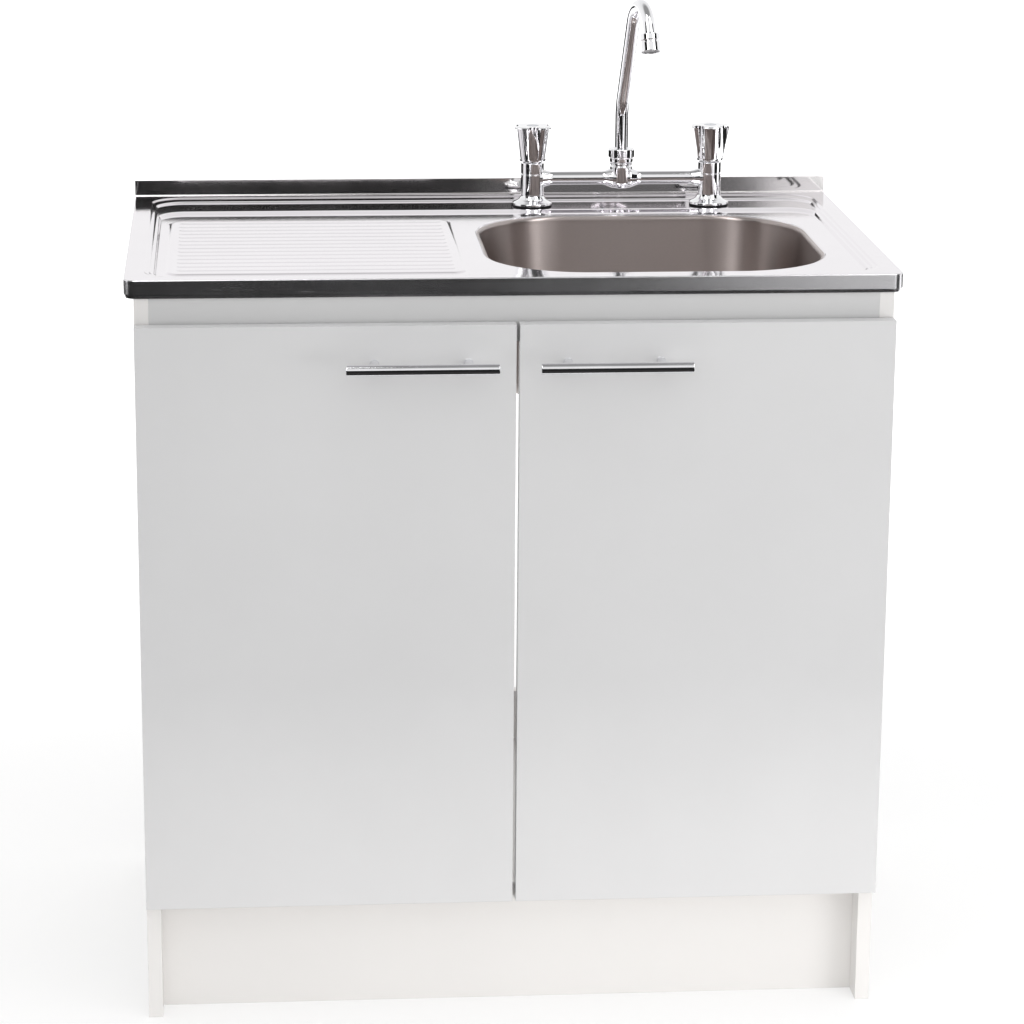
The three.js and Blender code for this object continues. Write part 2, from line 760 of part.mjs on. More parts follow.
function door(sign) {
  const inner = doorCentreGap / 2;
  const [x0, x1] = [sign * inner, sign * (inner + doorWidth)].sort((a, b) => a - b);
  const panel = block(x0, x1, doorFace, doorBack, doorBottom, doorTop);
  const cups = hingeHeights.map((z) => (
    rodAlongY(cupRadius, cupX(sign), z, doorBack - cupDepth, doorBack + 1, fineSides)
  ));
  const cupScrewHoles = hingeHeights.flatMap((z) => [-1, 1].map((end) => rodAlongY(
    hingeScrewRadius + slack, cupX(sign), z + (end * cupScrewSpacing) / 2,
    doorBack - hingeScrewLength, doorBack + 1, screwSides,
  )));
  const handleHoles = handlePostPlaces(sign).map((x) => (
    rodAlongY(handleScrewRadius + slack, x, barZ, doorFace - 1, doorBack + 1, screwSides)
  ));
  return cut(panel, ...cups, ...cupScrewHoles, ...handleHoles);
}

// A bar handle: two posts welded to a round bar and tapped for screws from inside the door.
function handle(sign) {
  const centre = sign * handleX;
  const half = handleLength / 2;
  const bar = rodAlongX(handleDiameter / 2, barY, barZ, centre - half, centre + half, fineSides);
  const posts = handlePostPlaces(sign).map((x) => rodAlongY(handlePostDiameter / 2, x, barZ, barY, doorFace));
  const bores = handlePostPlaces(sign).map((x) => (
    rodAlongY(handleScrewRadius + slack, x, barZ, handleBoreEnd, doorFace + 1, screwSides)
  ));
  return cut(join(bar, ...posts), ...bores);
}

function handleScrew(x) {
  const headTop = doorBack + handleScrewHeadHeight;
  return join(
    rodAlongY(handleScrewRadius, x, barZ, handleBoreEnd + 2, headTop - 1, screwSides),
    rodAlongY(handleScrewHeadRadius, x, barZ, doorBack, headTop),
  );
}

function addHandle(side, sign) {
  addPart(`handle_${side}`, handle(sign), chrome);
  handlePostPlaces(sign).forEach((x, i) => {
    addPart(`handle_screw_${side}_${i + 1}`, handleScrew(x), zinc);
  });
}

// ---------------------------------------------------------------- concealed hinges

// Hinge outlines are drawn in plan for the right-hand door, looking down: x runs from the
// door's outer edge inwards and y from the cabinet's front edge backwards.
const linkPin = new THREE.Vector2(linkPinInset, -doorStandOff - linkPinDepth);
const armTop = board + plateThickness + armHeight;

// Turns hinge coordinates into the unit's for one door.
function onHinge(geometry, sign) {
  return closed(geometry.scale(-sign, 1, 1).translate(sign * cabinetSide, cabinetFront, 0));
}

function pinAt(point, radius, height, z, sides = 10) {
  return rod(radius, z - height / 2, z + height / 2, sides).translate(point.x, point.y, 0);
}

// A plan outline, extruded to both sides of the level z.
function extruded(outline, height, z) {
  const options = { depth: height, bevelEnabled: false, curveSegments: 4 };
  return new THREE.ExtrudeGeometry(outline, options).translate(0, 0, z - height / 2);
}

function hingeCup(z) {
  const y = -doorStandOff;
  const radius = cupRadius - slack;
  const half = cupScrewSpacing / 2 + cupFlangeWidth / 4;
  const side = cupFlangeWidth / 2;
  const flange = block(cupCentre - side, cupCentre + side, y, y + cupFlangeThickness, z - half, z + half);
  const shell = rodAlongY(radius, cupCentre, z, y - cupDepth + slack, y + cupFlangeThickness, fineSides);
  const hollow = rodAlongY(radius - cupWall, cupCentre, z, y - cupDepth + slack + cupWall, y + 5, fineSides);
  const screws = [-1, 1].flatMap((end) => cupScrew(z + (end * cupScrewSpacing) / 2));
  return cut(join(shell, flange, ...screws), hollow);
}

// The cup and the plate come with their screws in place.
function cupScrew(z) {
  const y = -doorStandOff + cupFlangeThickness;
  return [
    rodAlongY(hingeScrewRadius, cupCentre, z, y - hingeScrewLength, y - 0.2, screwSides),
    rodAlongY(hingeScrewHeadRadius, cupCentre, z, y - 0.2, y + hingeScrewHeadHeight, 8),
  ];
}

// The cranked link: an eye round the arm's pin, a bowed strap and a free end that lies in the cup.
function hingeLink(z) {
  const end = new THREE.Vector2(linkPin.x + linkLength, linkPin.y);
  const bow = new THREE.Vector2(linkPin.x + linkLength / 2, linkPin.y + 2 * linkRise);
  const strap = new THREE.Shape();
  const half = linkThickness / 2;
  strap.moveTo(linkPin.x, linkPin.y - half);
  strap.quadraticCurveTo(bow.x, bow.y - half, end.x, end.y - half);
  strap.lineTo(end.x, end.y + half);
  strap.quadraticCurveTo(bow.x, bow.y + half, linkPin.x, linkPin.y + half);
  const geometry = extruded(strap, linkWidth, z);
  const eye = pinAt(linkPin, linkEyeRadius, linkWidth, z);
  const endEye = pinAt(end, linkEndRadius, linkWidth, z);
  const bore = pinAt(linkPin, pinRadius + slack, linkWidth + 2, z);
  const endBore = pinAt(end, linkEndBore, linkWidth + 2, z, screwSides);
  return cut(join(geometry, eye, endEye), bore, endBore);
}

// The arm is a channel over the mounting plate; its nose reaches past the cabinet's front edge
// into the cup and carries the link's pin between two ears.
function armOutline(low) {
  const nose = new THREE.Shape();
  nose.moveTo(low, armNoseStart);
  nose.lineTo(low, 4);
  nose.lineTo(linkPin.x - 1.5, linkPin.y + 2.5);
  nose.absarc(linkPin.x, linkPin.y, linkEyeRadius, Math.PI * 0.75, Math.PI * 1.95, false);
  nose.lineTo(armTop, 2);
  nose.lineTo(armTop, armNoseStart);
  return nose;
}

function hingeArm(z) {
  const low = board + plateThickness + seat;
  const half = armWidth / 2;
  const inside = half - armWall;
  const channel = block(low, armTop, armNoseStart - 1, armLength, z - half, z + half);
  const trough = block(
    board, armTop - armWall, armNoseStart + 6, armLength + 1, z - inside, z + inside,
  );
  const room = linkWidth / 2 + slack;
  const reach = 9;
  const linkRoom = block(
    linkPin.x - reach, armTop + reach, linkPin.y - reach, 6, z - room, z + room,
  );
  const slotHalf = armSlotWidth / 2;
  const screwSlot = block(
    armTop - 3, armTop + 1, plateFromFront - slotHalf, plateFromFront + slotHalf,
    z - slotHalf, z + slotHalf,
  );
  const shell = join(extruded(armOutline(low), armWidth, z), channel);
  return join(cut(shell, trough, linkRoom, screwSlot), pinAt(linkPin, pinRadius, armWidth, z));
}

// The mounting plate: a base with two screw wings and a raised rib that the arm clips over.
function hingePlate(z) {
  const [y0, y1] = [plateFromFront - plateWidth / 2, plateFromFront + plateWidth / 2];
  const wings = block(board, board + plateThickness, y0, y1, z - plateLength / 2, z + plateLength / 2);
  const inside = (armWidth - 2 * armWall) / 2 - seat;
  const ribTop = armTop - armWall - seat;
  const rib = block(board, ribTop, y0 - ribLead, y1 + ribTrail, z - inside, z + inside);
  const screws = [-1, 1].flatMap((end) => plateScrew(z + (end * plateScrewSpacing) / 2));
  return join(wings, rib, ...screws);
}

function plateScrew(z) {
  const top = board + plateThickness;
  return [
    rodAlongX(hingeScrewRadius, plateFromFront, z, top - hingeScrewLength, top - 0.2, screwSides),
    rodAlongX(hingeScrewHeadRadius, plateFromFront, z, top - 0.2, top + hingeScrewHeadHeight, 8),
  ];
}

function addHinges(side, sign) {
  const pieces = { cup: hingeCup, link: hingeLink, arm: hingeArm, plate: hingePlate };
  [['lower', hingeHeights[0]], ['upper', hingeHeights[1]]].forEach(([level, z]) => {
    Object.entries(pieces).forEach(([name, make]) => {
      addPart(`hinge_${name}_${side}_${level}`, onHinge(make(z), sign), zinc);
    });
  });
}

function addDoor(side, sign) {
  addPart(`door_${side}`, door(sign), melamine);
  addHandle(side, sign);
  addHinges(side, sign);
}

// ---------------------------------------------------------------- mixer

function tapAxes() {
  return [tapCentreX - tapSpacing / 2, tapCentreX + tapSpacing / 2];
}

// One pillar of the mixer about its own axis, from the shank under the top to its mouth.
function pillar() {
  const foot = tapGasketThickness;
  const mouth = pillarRadius - pillarMouthStep;
  return revolve([
    [0, -shankLength], [shankRadius, -shankLength], [shankRadius, foot], [flangeRadius, foot],
    [flangeRadius, foot + flangeEdge], [flangeRadius - 3, foot + 2 * flangeEdge],
    [pillarRadius + pillarFillet / 2, flangeHeight], [pillarRadius, flangeHeight + pillarFillet],
    [pillarRadius, pillarHeight - 5], [mouth, pillarHeight - 3.6], [mouth, pillarHeight],
    [0, pillarHeight],
  ]);
}

function pillarBores() {
  return [
    rod(bonnetRadius + slack, pillarHeight - bonnetDepth - seatRoom, pillarHeight + 1, fineSides),
    rod(inletRadius, -shankLength - 1, pillarHeight - bonnetDepth - seatRoom + 1, 10),
  ];
}

// The bridge between the pillars swells where it meets them and the hub.
function bridge() {
  const reach = tapSpacing / 2;
  const flared = bridgeRadius + bridgeFlare;
  const root = 2;                  // how far the swell starts inside the hub and the pillar
  const pillarFace = reach - pillarRadius;
  const half = revolve([
    [0, 0], [flared, 0], [flared, hubRadius - root],
    [bridgeRadius, hubRadius - root + bridgeFlareLength],
    [bridgeRadius, pillarFace + root - bridgeFlareLength],
    [flared - 1, pillarFace + root], [flared - 1, reach], [0, reach],
  ], plainSides);
  const turned = half.rotateY(Math.PI / 2).translate(0, 0, bridgeHeight);
  return [turned, turned.clone().rotateZ(Math.PI)];
}

function hub() {
  return revolve([
    [0, hubBottom], [hubRadius - hubCurve * 0.65, hubBottom + hubCurve * 0.2],
    [hubRadius, hubBottom + hubCurve], [hubRadius, hubTop - 3 * hubGroove],
    [hubRadius - hubGroove, hubTop - 2 * hubGroove], [hubRadius, hubTop - hubGroove],
    [hubRadius, hubTop], [spigotRadius, hubTop], [spigotRadius, hubTop + spigotHeight],
    [0, hubTop + spigotHeight],
  ]);
}

const spoutFoot = hubTop - spoutTailDepth;

function mixerBody() {
  const pillars = [-1, 1].map((sign) => pillar().translate((sign * tapSpacing) / 2, 0, 0));
  const pillarTools = [-1, 1].flatMap((sign) => (
    pillarBores().map((bore) => bore.translate((sign * tapSpacing) / 2, 0, 0))
  ));
  const hubBores = [
    rod(spoutRadius + slack, spoutFoot - footGap, hubTop + spigotHeight + 1, plainSides),
    rod(bridgeBore, bridgeHeight - 2, spoutFoot + 1, 10),
  ];
  const waterway = rodAlongX(bridgeBore, 0, bridgeHeight, -tapSpacing / 2, tapSpacing / 2, 10);
  return cut(join(...pillars, ...bridge(), hub()), ...pillarTools, ...hubBores, waterway);
}

// A knob ring: round at the bottom, lobed towards the top.
function knobRing(radius, lobe, level) {
  const count = 24;
  return Array.from({ length: count }, (_, i) => {
    const angle = (2 * Math.PI * i) / count;
    const reach = radius + lobe * Math.cos(knobLobes * angle);
    return new THREE.Vector3(reach * Math.cos(angle), reach * Math.sin(angle), level);
  });
}

function knob() {
  const height = knobTop - knobBottom;
  const along = (share) => knobBottom + share * height;
  const grow = (share) => knobBottomRadius + (knobTopRadius - knobBottomRadius) * share;
  const body = loft([
    knobRing(knobBottomRadius - 0.8, 0, knobBottom),
    knobRing(knobBottomRadius, 0, knobBottom + 0.8),
    knobRing(grow(0.12), knobLobe * 0.12, along(0.12)),
    knobRing(grow(0.45), knobLobe * 0.5, along(0.45)),
    knobRing(knobTopRadius, knobLobe, along(0.82)),
    knobRing(knobTopRadius, knobLobe, knobTop - knobEdge),
    knobRing(knobTopRadius - knobEdge * 0.35, knobLobe, knobTop - knobEdge * 0.3),
    knobRing(knobTopRadius - knobEdge, knobLobe * 0.9, knobTop),
  ]);
  return cut(
    body,
    rod(knobSkirtRadius, knobBottom - 1, knobBottom + knobSkirtDepth, plainSides),
    rod(spindleRadius + slack, knobBottom, spindleTop + slack, 10),
    rod(knobScrewRadius + slack, spindleTop, knobTop, 8),
    rod(indexRadius + slack, knobTop - knobWellDepth, knobTop + 1, plainSides),
  );
}

function bonnet() {
  const bodyBottom = pillarHeight - bonnetDepth;
  const shell = revolve([
    [0, bodyBottom], [bonnetRadius, bodyBottom], [bonnetRadius, pillarHeight + seat],
    [bonnetHeadRadius, pillarHeight + seat], [bonnetHeadRadius, pillarHeight + 4],
    [bonnetHeadRadius - 3, pillarHeight + bonnetHeadHeight], [0, pillarHeight + bonnetHeadHeight],
  ]);
  return cut(shell, rod(spindleRadius + slack, bodyBottom - 1, pillarHeight + bonnetHeadHeight + 1, 10));
}

// The spindle closes on the water seat at its foot and carries the knob on its head.
function spindle() {
  const foot = pillarHeight - bonnetDepth - seatRoom + seat;
  const discTop = foot + seatRoom - 2 * seat;
  const discRadius = inletRadius + 1.5;
  const shaft = revolve([
    [0, foot], [discRadius, foot], [discRadius, discTop], [spindleRadius, discTop],
    [spindleRadius, spindleTop], [0, spindleTop],
  ], 10);
  return cut(shaft, rod(knobScrewRadius + slack, spindleTop - knobScrewLength, spindleTop + 1, 8));
}

function knobScrew() {
  const headBottom = knobTop - knobWellDepth + 0.05;
  return revolve([
    [0, headBottom - knobScrewLength + 1], [knobScrewRadius, headBottom - knobScrewLength + 1],
    [knobScrewRadius, headBottom], [knobScrewHeadRadius, headBottom],
    [knobScrewHeadRadius, headBottom + knobScrewHeadHeight], [0, headBottom + knobScrewHeadHeight],
  ], 8);
}

function indexCap() {
  const top = knobTop + 0.4;
  return revolve([
    [0, top - indexThickness], [indexRadius, top - indexThickness], [indexRadius, top - 0.6],
    [indexRadius - 0.8, top], [0, top],
  ], plainSides);
}

// Stations of the spout's centre line in its own plane: x is reach, y height, angle the
// direction of travel from the horizontal.
function spoutStations() {
  const lean = radians(90 - spoutLean);
  const bendCentre = new THREE.Vector2(spoutLeanRadius, spoutBendHeight);
  const stations = [{ x: 0, y: spoutFoot, angle: Math.PI / 2 }];
  const bendSteps = 3;
  for (let i = 0; i <= bendSteps; i += 1) {
    const turn = (radians(spoutLean) * i) / bendSteps;
    stations.push({
      x: bendCentre.x - spoutLeanRadius * Math.cos(turn),
      y: bendCentre.y + spoutLeanRadius * Math.sin(turn),
      angle: Math.PI / 2 - turn,
    });
  }
  const bendEnd = stations[stations.length - 1];
  const arcStartY = spoutCrestHeight - spoutArcRadius * (1 - Math.cos(lean));
  const arcStartX = bendEnd.x + (arcStartY - bendEnd.y) / Math.tan(lean);
  const arcCentre = new THREE.Vector2(
    arcStartX + spoutArcRadius * Math.sin(lean), spoutCrestHeight - spoutArcRadius,
  );
  const arcEnd = radians(spoutNozzleTilt - 90);
  const arcSteps = 9;
  for (let i = 0; i <= arcSteps; i += 1) {
    const angle = lean + ((arcEnd - lean) * i) / arcSteps;
    stations.push({
      x: arcCentre.x - spoutArcRadius * Math.sin(angle),
      y: arcCentre.y + spoutArcRadius * Math.cos(angle),
      angle,
    });
  }
  const arcLast = stations[stations.length - 1];
  stations.push({
    x: arcLast.x + spoutDrop * Math.cos(arcEnd),
    y: arcLast.y + spoutDrop * Math.sin(arcEnd),
    angle: arcEnd,
  });
  return stations;
}

function stationRing({ x, y, angle }, radius, sides) {
  return Array.from({ length: sides }, (_, i) => {
    const turn = (2 * Math.PI * i) / sides;
    const across = radius * Math.cos(turn);
    const reach = x - across * Math.sin(angle);
    return new THREE.Vector3(radius * Math.sin(turn), -reach, y + across * Math.cos(angle));
  });
}

// The collar that is brazed to the spout lies between the spigot's rim and the nut.
const collarBottom = hubTop + spigotHeight + seat;
const nutCeiling = spoutNutTop - spoutNutRoof;

function spoutTube() {
  const stations = spoutStations();
  const sides = 12;
  const outside = stations.map((station) => stationRing(station, spoutRadius, sides));
  const inside = stations.map((station) => stationRing(station, spoutRadius - spoutWall, sides));
  const tube = loft([...outside, ...inside.reverse()], true);
  const collarOutside = spigotRadius - slack;
  const collarTop = nutCeiling - slack;
  const collar = ring(spoutRadius - spoutWall / 2, collarOutside, collarBottom, collarTop, plainSides);
  return join(tube, collar);
}

// The nut holds the spout's collar down and turns on the spigot's thread.
function spoutNut() {
  const bottom = hubTop + seat;
  const bore = spoutRadius + slack;
  const thread = spigotRadius + slack;
  const step = spoutNutTop - spoutNutHeight;
  return revolve([
    [thread, bottom], [spoutCollarRadius, bottom], [spoutCollarRadius, step - 1],
    [spoutNutRadius, step], [spoutNutRadius, spoutNutTop - spoutNutEdge],
    [spoutNutRadius - spoutNutEdge, spoutNutTop], [bore, spoutNutTop], [bore, nutCeiling],
    [thread, nutCeiling], [thread, bottom],
  ]);
}

// The aerator is made about Z with the tube's end at 0, and then turned into the spout's line.
function aeratorShell() {
  const bore = spoutRadius + slack;
  const [top, bottom] = [-aeratorOverlap, aeratorLength - aeratorOverlap];
  const mouth = aeratorRadius - aeratorWall;
  const groove = aeratorRadius - aeratorGroove;
  const ledge = 1;
  return revolve([
    [bore, top], [aeratorRadius - 1, top], [aeratorRadius, top + 1], [aeratorRadius, 0],
    [groove, aeratorGroove], [groove, 2.4 * aeratorGroove], [aeratorRadius, 3.3 * aeratorGroove],
    [aeratorRadius, bottom], [mouth, bottom], [mouth, ledge], [bore, ledge], [bore, top],
  ], plainSides);
}

function aeratorScreen() {
  const bottom = aeratorLength - aeratorOverlap - aeratorScreenInset;
  const top = bottom - aeratorScreenThickness;
  const hole = rod(aeratorHoleRadius, top - 1, bottom + 1, screwSides);
  const holes = Array.from({ length: aeratorHoles }, (_, i) => (
    hole.clone().translate(aeratorHoleReach, 0, 0).rotateZ((2 * Math.PI * i) / aeratorHoles)
  ));
  return cut(rod(aeratorRadius - aeratorWall - slack, top, bottom), ...holes, hole);
}

function atNozzle(geometry) {
  const end = spoutStations().at(-1);
  return geometry.rotateX(Math.PI / 2 - end.angle).translate(0, -end.x, end.y);
}

function addTap(side, post, turn) {
  const backnutTop = -sheet - seat;
  const hole = shankRadius + slack;
  const nut = hexagon(backnutRadius, hole, backnutTop - backnutHeight, backnutTop);
  addPart(`tap_gasket_${side}`, ring(hole, flangeRadius, 0, tapGasketThickness), rubber, post);
  addPart(`tap_backnut_${side}`, nut, brass, post);
  addPart(`tap_bonnet_${side}`, bonnet(), chrome, post);
  addPart(`tap_spindle_${side}`, spindle(), brass, post);
  const handle = new THREE.Group();
  handle.rotation.z = radians(turn);
  post.add(handle);
  addPart(`tap_knob_${side}`, knob(), chrome, handle);
  addPart(`tap_index_${side}`, indexCap(), plastic, handle);
  addPart(`tap_knob_screw_${side}`, knobScrew(), zinc, handle);
}

function addMixer() {
  const mixer = new THREE.Group();
  mixer.position.set(tapCentreX, tapY, ledgeLevel);
  unit.add(mixer);
  addPart('mixer_body', mixerBody(), chrome, mixer);
  [['left', -1, leftKnobTurn], ['right', 1, 0]].forEach(([side, sign, turn]) => {
    const post = new THREE.Group();
    post.position.x = (sign * tapSpacing) / 2;
    mixer.add(post);
    addTap(side, post, turn);
  });
  const spout = new THREE.Group();
  spout.rotation.z = radians(spoutSwing);
  mixer.add(spout);
  addPart('spout_nut', spoutNut(), chrome, mixer);
  addPart('spout_tube', spoutTube(), chrome, spout);
  addPart('aerator_shell', atNozzle(aeratorShell()), chrome, spout);
  addPart('aerator_screen', atNozzle(aeratorScreen()), plastic, spout);
}

// ---------------------------------------------------------------- the whole unit

addPart('sink_deck', sinkDeck(), steel);
addPart('sink_bowl', sinkBowl(), satinSteel);
addWaste();
addBasket();
addMixer();
addCabinet();
addDoor('left', -1);
addDoor('right', 1);

// Centre the unit on its depth: from the handles' front to the sink top's back.
const unitFront = barY - handleDiameter / 2;
unit.position.y = -(unitFront + back) / 2;

export default unit;
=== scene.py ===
"""Kitchen sink unit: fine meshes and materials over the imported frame, with camera, floor and lights."""

import json
import math

import bmesh
import bpy
import numpy as np
from mathutils import Matrix, Vector
from mathutils.geometry import delaunay_2d_cdt


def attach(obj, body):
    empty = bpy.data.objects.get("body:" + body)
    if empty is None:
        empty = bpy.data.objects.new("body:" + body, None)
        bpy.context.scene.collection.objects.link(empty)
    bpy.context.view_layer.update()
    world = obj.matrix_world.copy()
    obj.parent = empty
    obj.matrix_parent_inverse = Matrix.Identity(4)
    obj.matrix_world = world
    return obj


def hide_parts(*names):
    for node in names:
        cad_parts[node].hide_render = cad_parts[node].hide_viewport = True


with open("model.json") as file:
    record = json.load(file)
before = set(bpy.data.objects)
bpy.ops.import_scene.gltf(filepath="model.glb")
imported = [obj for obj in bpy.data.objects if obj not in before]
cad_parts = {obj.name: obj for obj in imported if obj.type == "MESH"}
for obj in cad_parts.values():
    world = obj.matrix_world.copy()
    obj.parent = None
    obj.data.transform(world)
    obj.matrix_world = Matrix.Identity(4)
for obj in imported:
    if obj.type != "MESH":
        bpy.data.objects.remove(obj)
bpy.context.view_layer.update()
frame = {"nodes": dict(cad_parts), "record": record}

MM = 0.001
# the frame lies this much further back than the lines below, which start under the top's middle
SHIFT_Y = 25.0

# ------------------------------------------------------------------ sizes, mm

# the sink top: the heights of its levels, then its folded edges
TOP_W, TOP_D = 800.0, 500.0
FLOOR, LEDGE, CHANNEL, RIM = 798.0, 801.0, 802.8, 804.0
SHEET, BEND = 1.0, 1.2
APRON_LOW, TUCK_Z, HEM = 785.0, 788.0, 0.9
CORNER, BACK_CORNER = 13.0, 0.5
UPSTAND_TOP, UPSTAND_LOW, UPSTAND_DEEP, UPSTAND_FOOT = 822.0, 787.0, 2.0, 4.4

# the recess, its ribbed field and the mouth of the bowl
RECESS_R = 35.0
FIELD = (-360.0, -46.0, -198.0, 110.0)
FIELD_R, FIELD_RISE, FIELD_RUN = 16.0, 1.5, 6.0
RIB_ENDS = (-348.0, -58.0)
RIB_HALF, RIB_R, RIB_RISE, RIB_RUN = 4.5, 4.49, 0.6, 3.4
RIB_COUNT, RIB_PITCH, RIB_MIDDLE = 14, 20.5, -44.0
RIB_Y = [RIB_MIDDLE + (i - (RIB_COUNT - 1) / 2) * RIB_PITCH for i in range(RIB_COUNT)]
MOUTH_DROP, MOUTH_RUN = 1.0, 1.6

# the bowl and the seat of its waste
BOWL_X, BOWL_Y = 160.0, -30.0
BOWL_HALF = (182.0, 165.0)
BOWL_R = 105.0
BOWL_TOP, BOWL_FLOOR, SEAT = 797.0, 647.0, 640.0
BOWL_FLANGE, BOWL_LIP, BOWL_DRAFT, BOWL_HEEL, BOWL_FALL = 8.0, 4.0, 13.0, 34.0, 4.0
SEAT_R, SEAT_BEVEL, SEAT_HOLE = 58.0, 3.0, 45.0

# the waste, its basket and the drain below
FLANGE_R, FLANGE_THICK = 56.0, 2.0
CUP_R, CUP_FLOOR, CUP_SHOULDER, WASTE_WALL = 41.4, 596.0, 604.0, 1.6
SPIGOT_R, SPIGOT_LOW = 17.4, 574.0
CROSS_HALF, CROSS_THICK, CROSS_DEEP = 17.5, 1.1, 3.0
BASKET_BASE, BASKET_HIGH, BASKET_WALL, BASKET_BORE = 601.3, 34.0, 1.2, 2.5
STRAINER_HOLE, STRAINER_ROW = 2.4, 18.7
STOPPER_DEEP, STOPPER_R = 5.0, 26.0
LOCKNUT_LOW, LOCKNUT_TOP, LOCKNUT_R, DRAIN_BORE = 624.0, 636.0, 49.0, 43.3
SEAL_TOP, SEAL_R = 639.0, 53.0
TAIL_R, TAIL_BORE, TAIL_LOW, TAIL_TOP = 20.5, 19.3, 474.0, 584.0
TAIL_NUT_LOW, TAIL_NUT_TOP, TAIL_NUT_R, TAIL_NUT_BORE = 570.0, 586.0, 26.0, 20.8

# the handles
DOOR_FACE, BAR_Y, BAR_Z = -264.0, -294.0, 718.0
BAR_HALF, BAR_R, BAR_INSET = 78.0, 6.0, 21.0
POST_HALF, POST_R = 48.0, 4.5

# the mixer, with heights above the tap ledge
TAP_X, TAP_Y, TAP_SPACING, TAP_HOLE = 154.0, 184.0, 203.2, 11.5
BRIDGE_Z = 31.5
KNOB_LOW, KNOB_TOP, KNOB_CAP_SEAT = 52.0, 92.0, 84.2
FLUTE_LOW, FLUTE_FOOT, FLUTE_FLARE, FLUTE_R, FLUTE_BLEND = 53.0, 15.4, 1.0, 8.5, 0.35
SPOUT_R, SPOUT_BORE, SPOUT_FOOT = 7.5, 6.4, 37.0
SPOUT_BEND_Z, SPOUT_BEND_R = 101.6, 60.0
CROOK_TOP, CROOK_R, NOZZLE_RUN = 235.0, 34.0, 12.0
SPOUT_LEAN, NOZZLE_LEAN, SPOUT_SWING = math.radians(21.7), math.radians(20), math.radians(9.4)

# ------------------------------------------------------------------ mesh helpers


def rounded_ring(x0, x1, y0, y1, front_radius, back_radius, steps):
    corners = (
        (x1 - front_radius, y0 + front_radius, front_radius, -90),
        (x1 - back_radius, y1 - back_radius, back_radius, 0),
        (x0 + back_radius, y1 - back_radius, back_radius, 90),
        (x0 + front_radius, y0 + front_radius, front_radius, 180),
    )
    loops = []
    for cx, cy, radius, start in corners:
        a = np.radians(start + 90 * np.arange(steps + 1) / steps)
        loops.append(np.c_[cx + radius * np.cos(a), cy + radius * np.sin(a)])
    return np.vstack(loops)


def at(ring, z):
    """The ring's points at one height."""
    return np.c_[ring, np.full(len(ring), float(z))]


def loft(rings, looped=False, caps=True):
    """Quads between rings of equal length, as (points, faces)."""
    n = len(rings[0])
    faces = []
    last = len(rings) if looped else len(rings) - 1
    for r in range(last):
        low, high = r * n, ((r + 1) % len(rings)) * n
        for i in range(n):
            j = (i + 1) % n
            faces.append((low + i, low + j, high + j, high + i))
    if caps and not looped:
        faces.append(tuple(range(n))[::-1])
        faces.append(tuple(range((len(rings) - 1) * n, len(rings) * n)))
    return np.vstack(rings), faces


# how far past the end of a rounding its support point lies, at most
SUPPORT = 0.15


def fillet(outline, radii, steps=5):
    """Rounds the corners of a polyline; radii has one value for each point, 0 for a sharp one."""
    points = [np.array(p, float) for p in outline]
    made = [points[0]]
    for i in range(1, len(points) - 1):
        a, b, c = points[i - 1], points[i], points[i + 1]
        radius = radii[i]
        if radius <= 0:
            made.append(b)
            continue
        u, v = a - b, c - b
        lu, lv = np.linalg.norm(u), np.linalg.norm(v)
        u, v = u / lu, v / lv
        half = math.acos(max(-1, min(1, float(u @ v)))) / 2
        reach = min(radius / math.tan(half), 0.49 * lu, 0.49 * lv) if half > 1e-3 else 0
        p, q = b + u * reach, b + v * reach
        # a point just beyond each end of the rounding keeps the flat beside it flat in the shading
        made.append(p + u * 0.9 * min(SUPPORT, lu / 2 - reach))
        for t in np.linspace(0, 1, steps + 1):
            made.append((1 - t) ** 2 * p + 2 * t * (1 - t) * b + t**2 * q)
        made.append(q + v * 0.9 * min(SUPPORT, lv / 2 - reach))
    made.append(points[-1])
    return np.array(made)


def revolve(outline, sides=72):
    """Turns a [radius, height] outline about Z; ends on the axis are closed."""
    a = 2 * np.pi * np.arange(sides) / sides
    rings = [np.c_[r * np.cos(a), r * np.sin(a), np.full(sides, z)] for r, z in outline if r > 1e-6]
    closed_low, closed_high = outline[0][0] <= 1e-6, outline[-1][0] <= 1e-6
    same = np.allclose(outline[0], outline[-1])
    points, faces = loft(rings[:-1] if same else rings, looped=same, caps=False)
    if closed_low:
        faces.append(tuple(range(sides))[::-1])
    if closed_high:
        first = (len(rings) - 1) * sides
        faces.append(tuple(range(first, first + sides)))
    return points, faces


def moved(shell, matrix):
    points, faces = shell
    m = np.array(matrix)
    return points @ m[:3, :3].T + m[:3, 3], faces


def turned(shell, degrees):
    return moved(shell, Matrix.Rotation(math.radians(degrees), 4, "Z"))


def place(x, y, z, turn=None):
    return Matrix.Translation((x, y, z)) @ (turn or Matrix.Identity(4))


def joined(shells):
    """The shells as one shell."""
    points, faces, start = [], [], 0
    for shell_points, shell_faces in shells:
        points.append(shell_points)
        faces += [tuple(start + i for i in face) for face in shell_faces]
        start += len(shell_points)
    return np.vstack(points), faces


TO_X = Matrix.Rotation(math.pi / 2, 4, "Y")
TO_Y = Matrix.Rotation(-math.pi / 2, 4, "X")


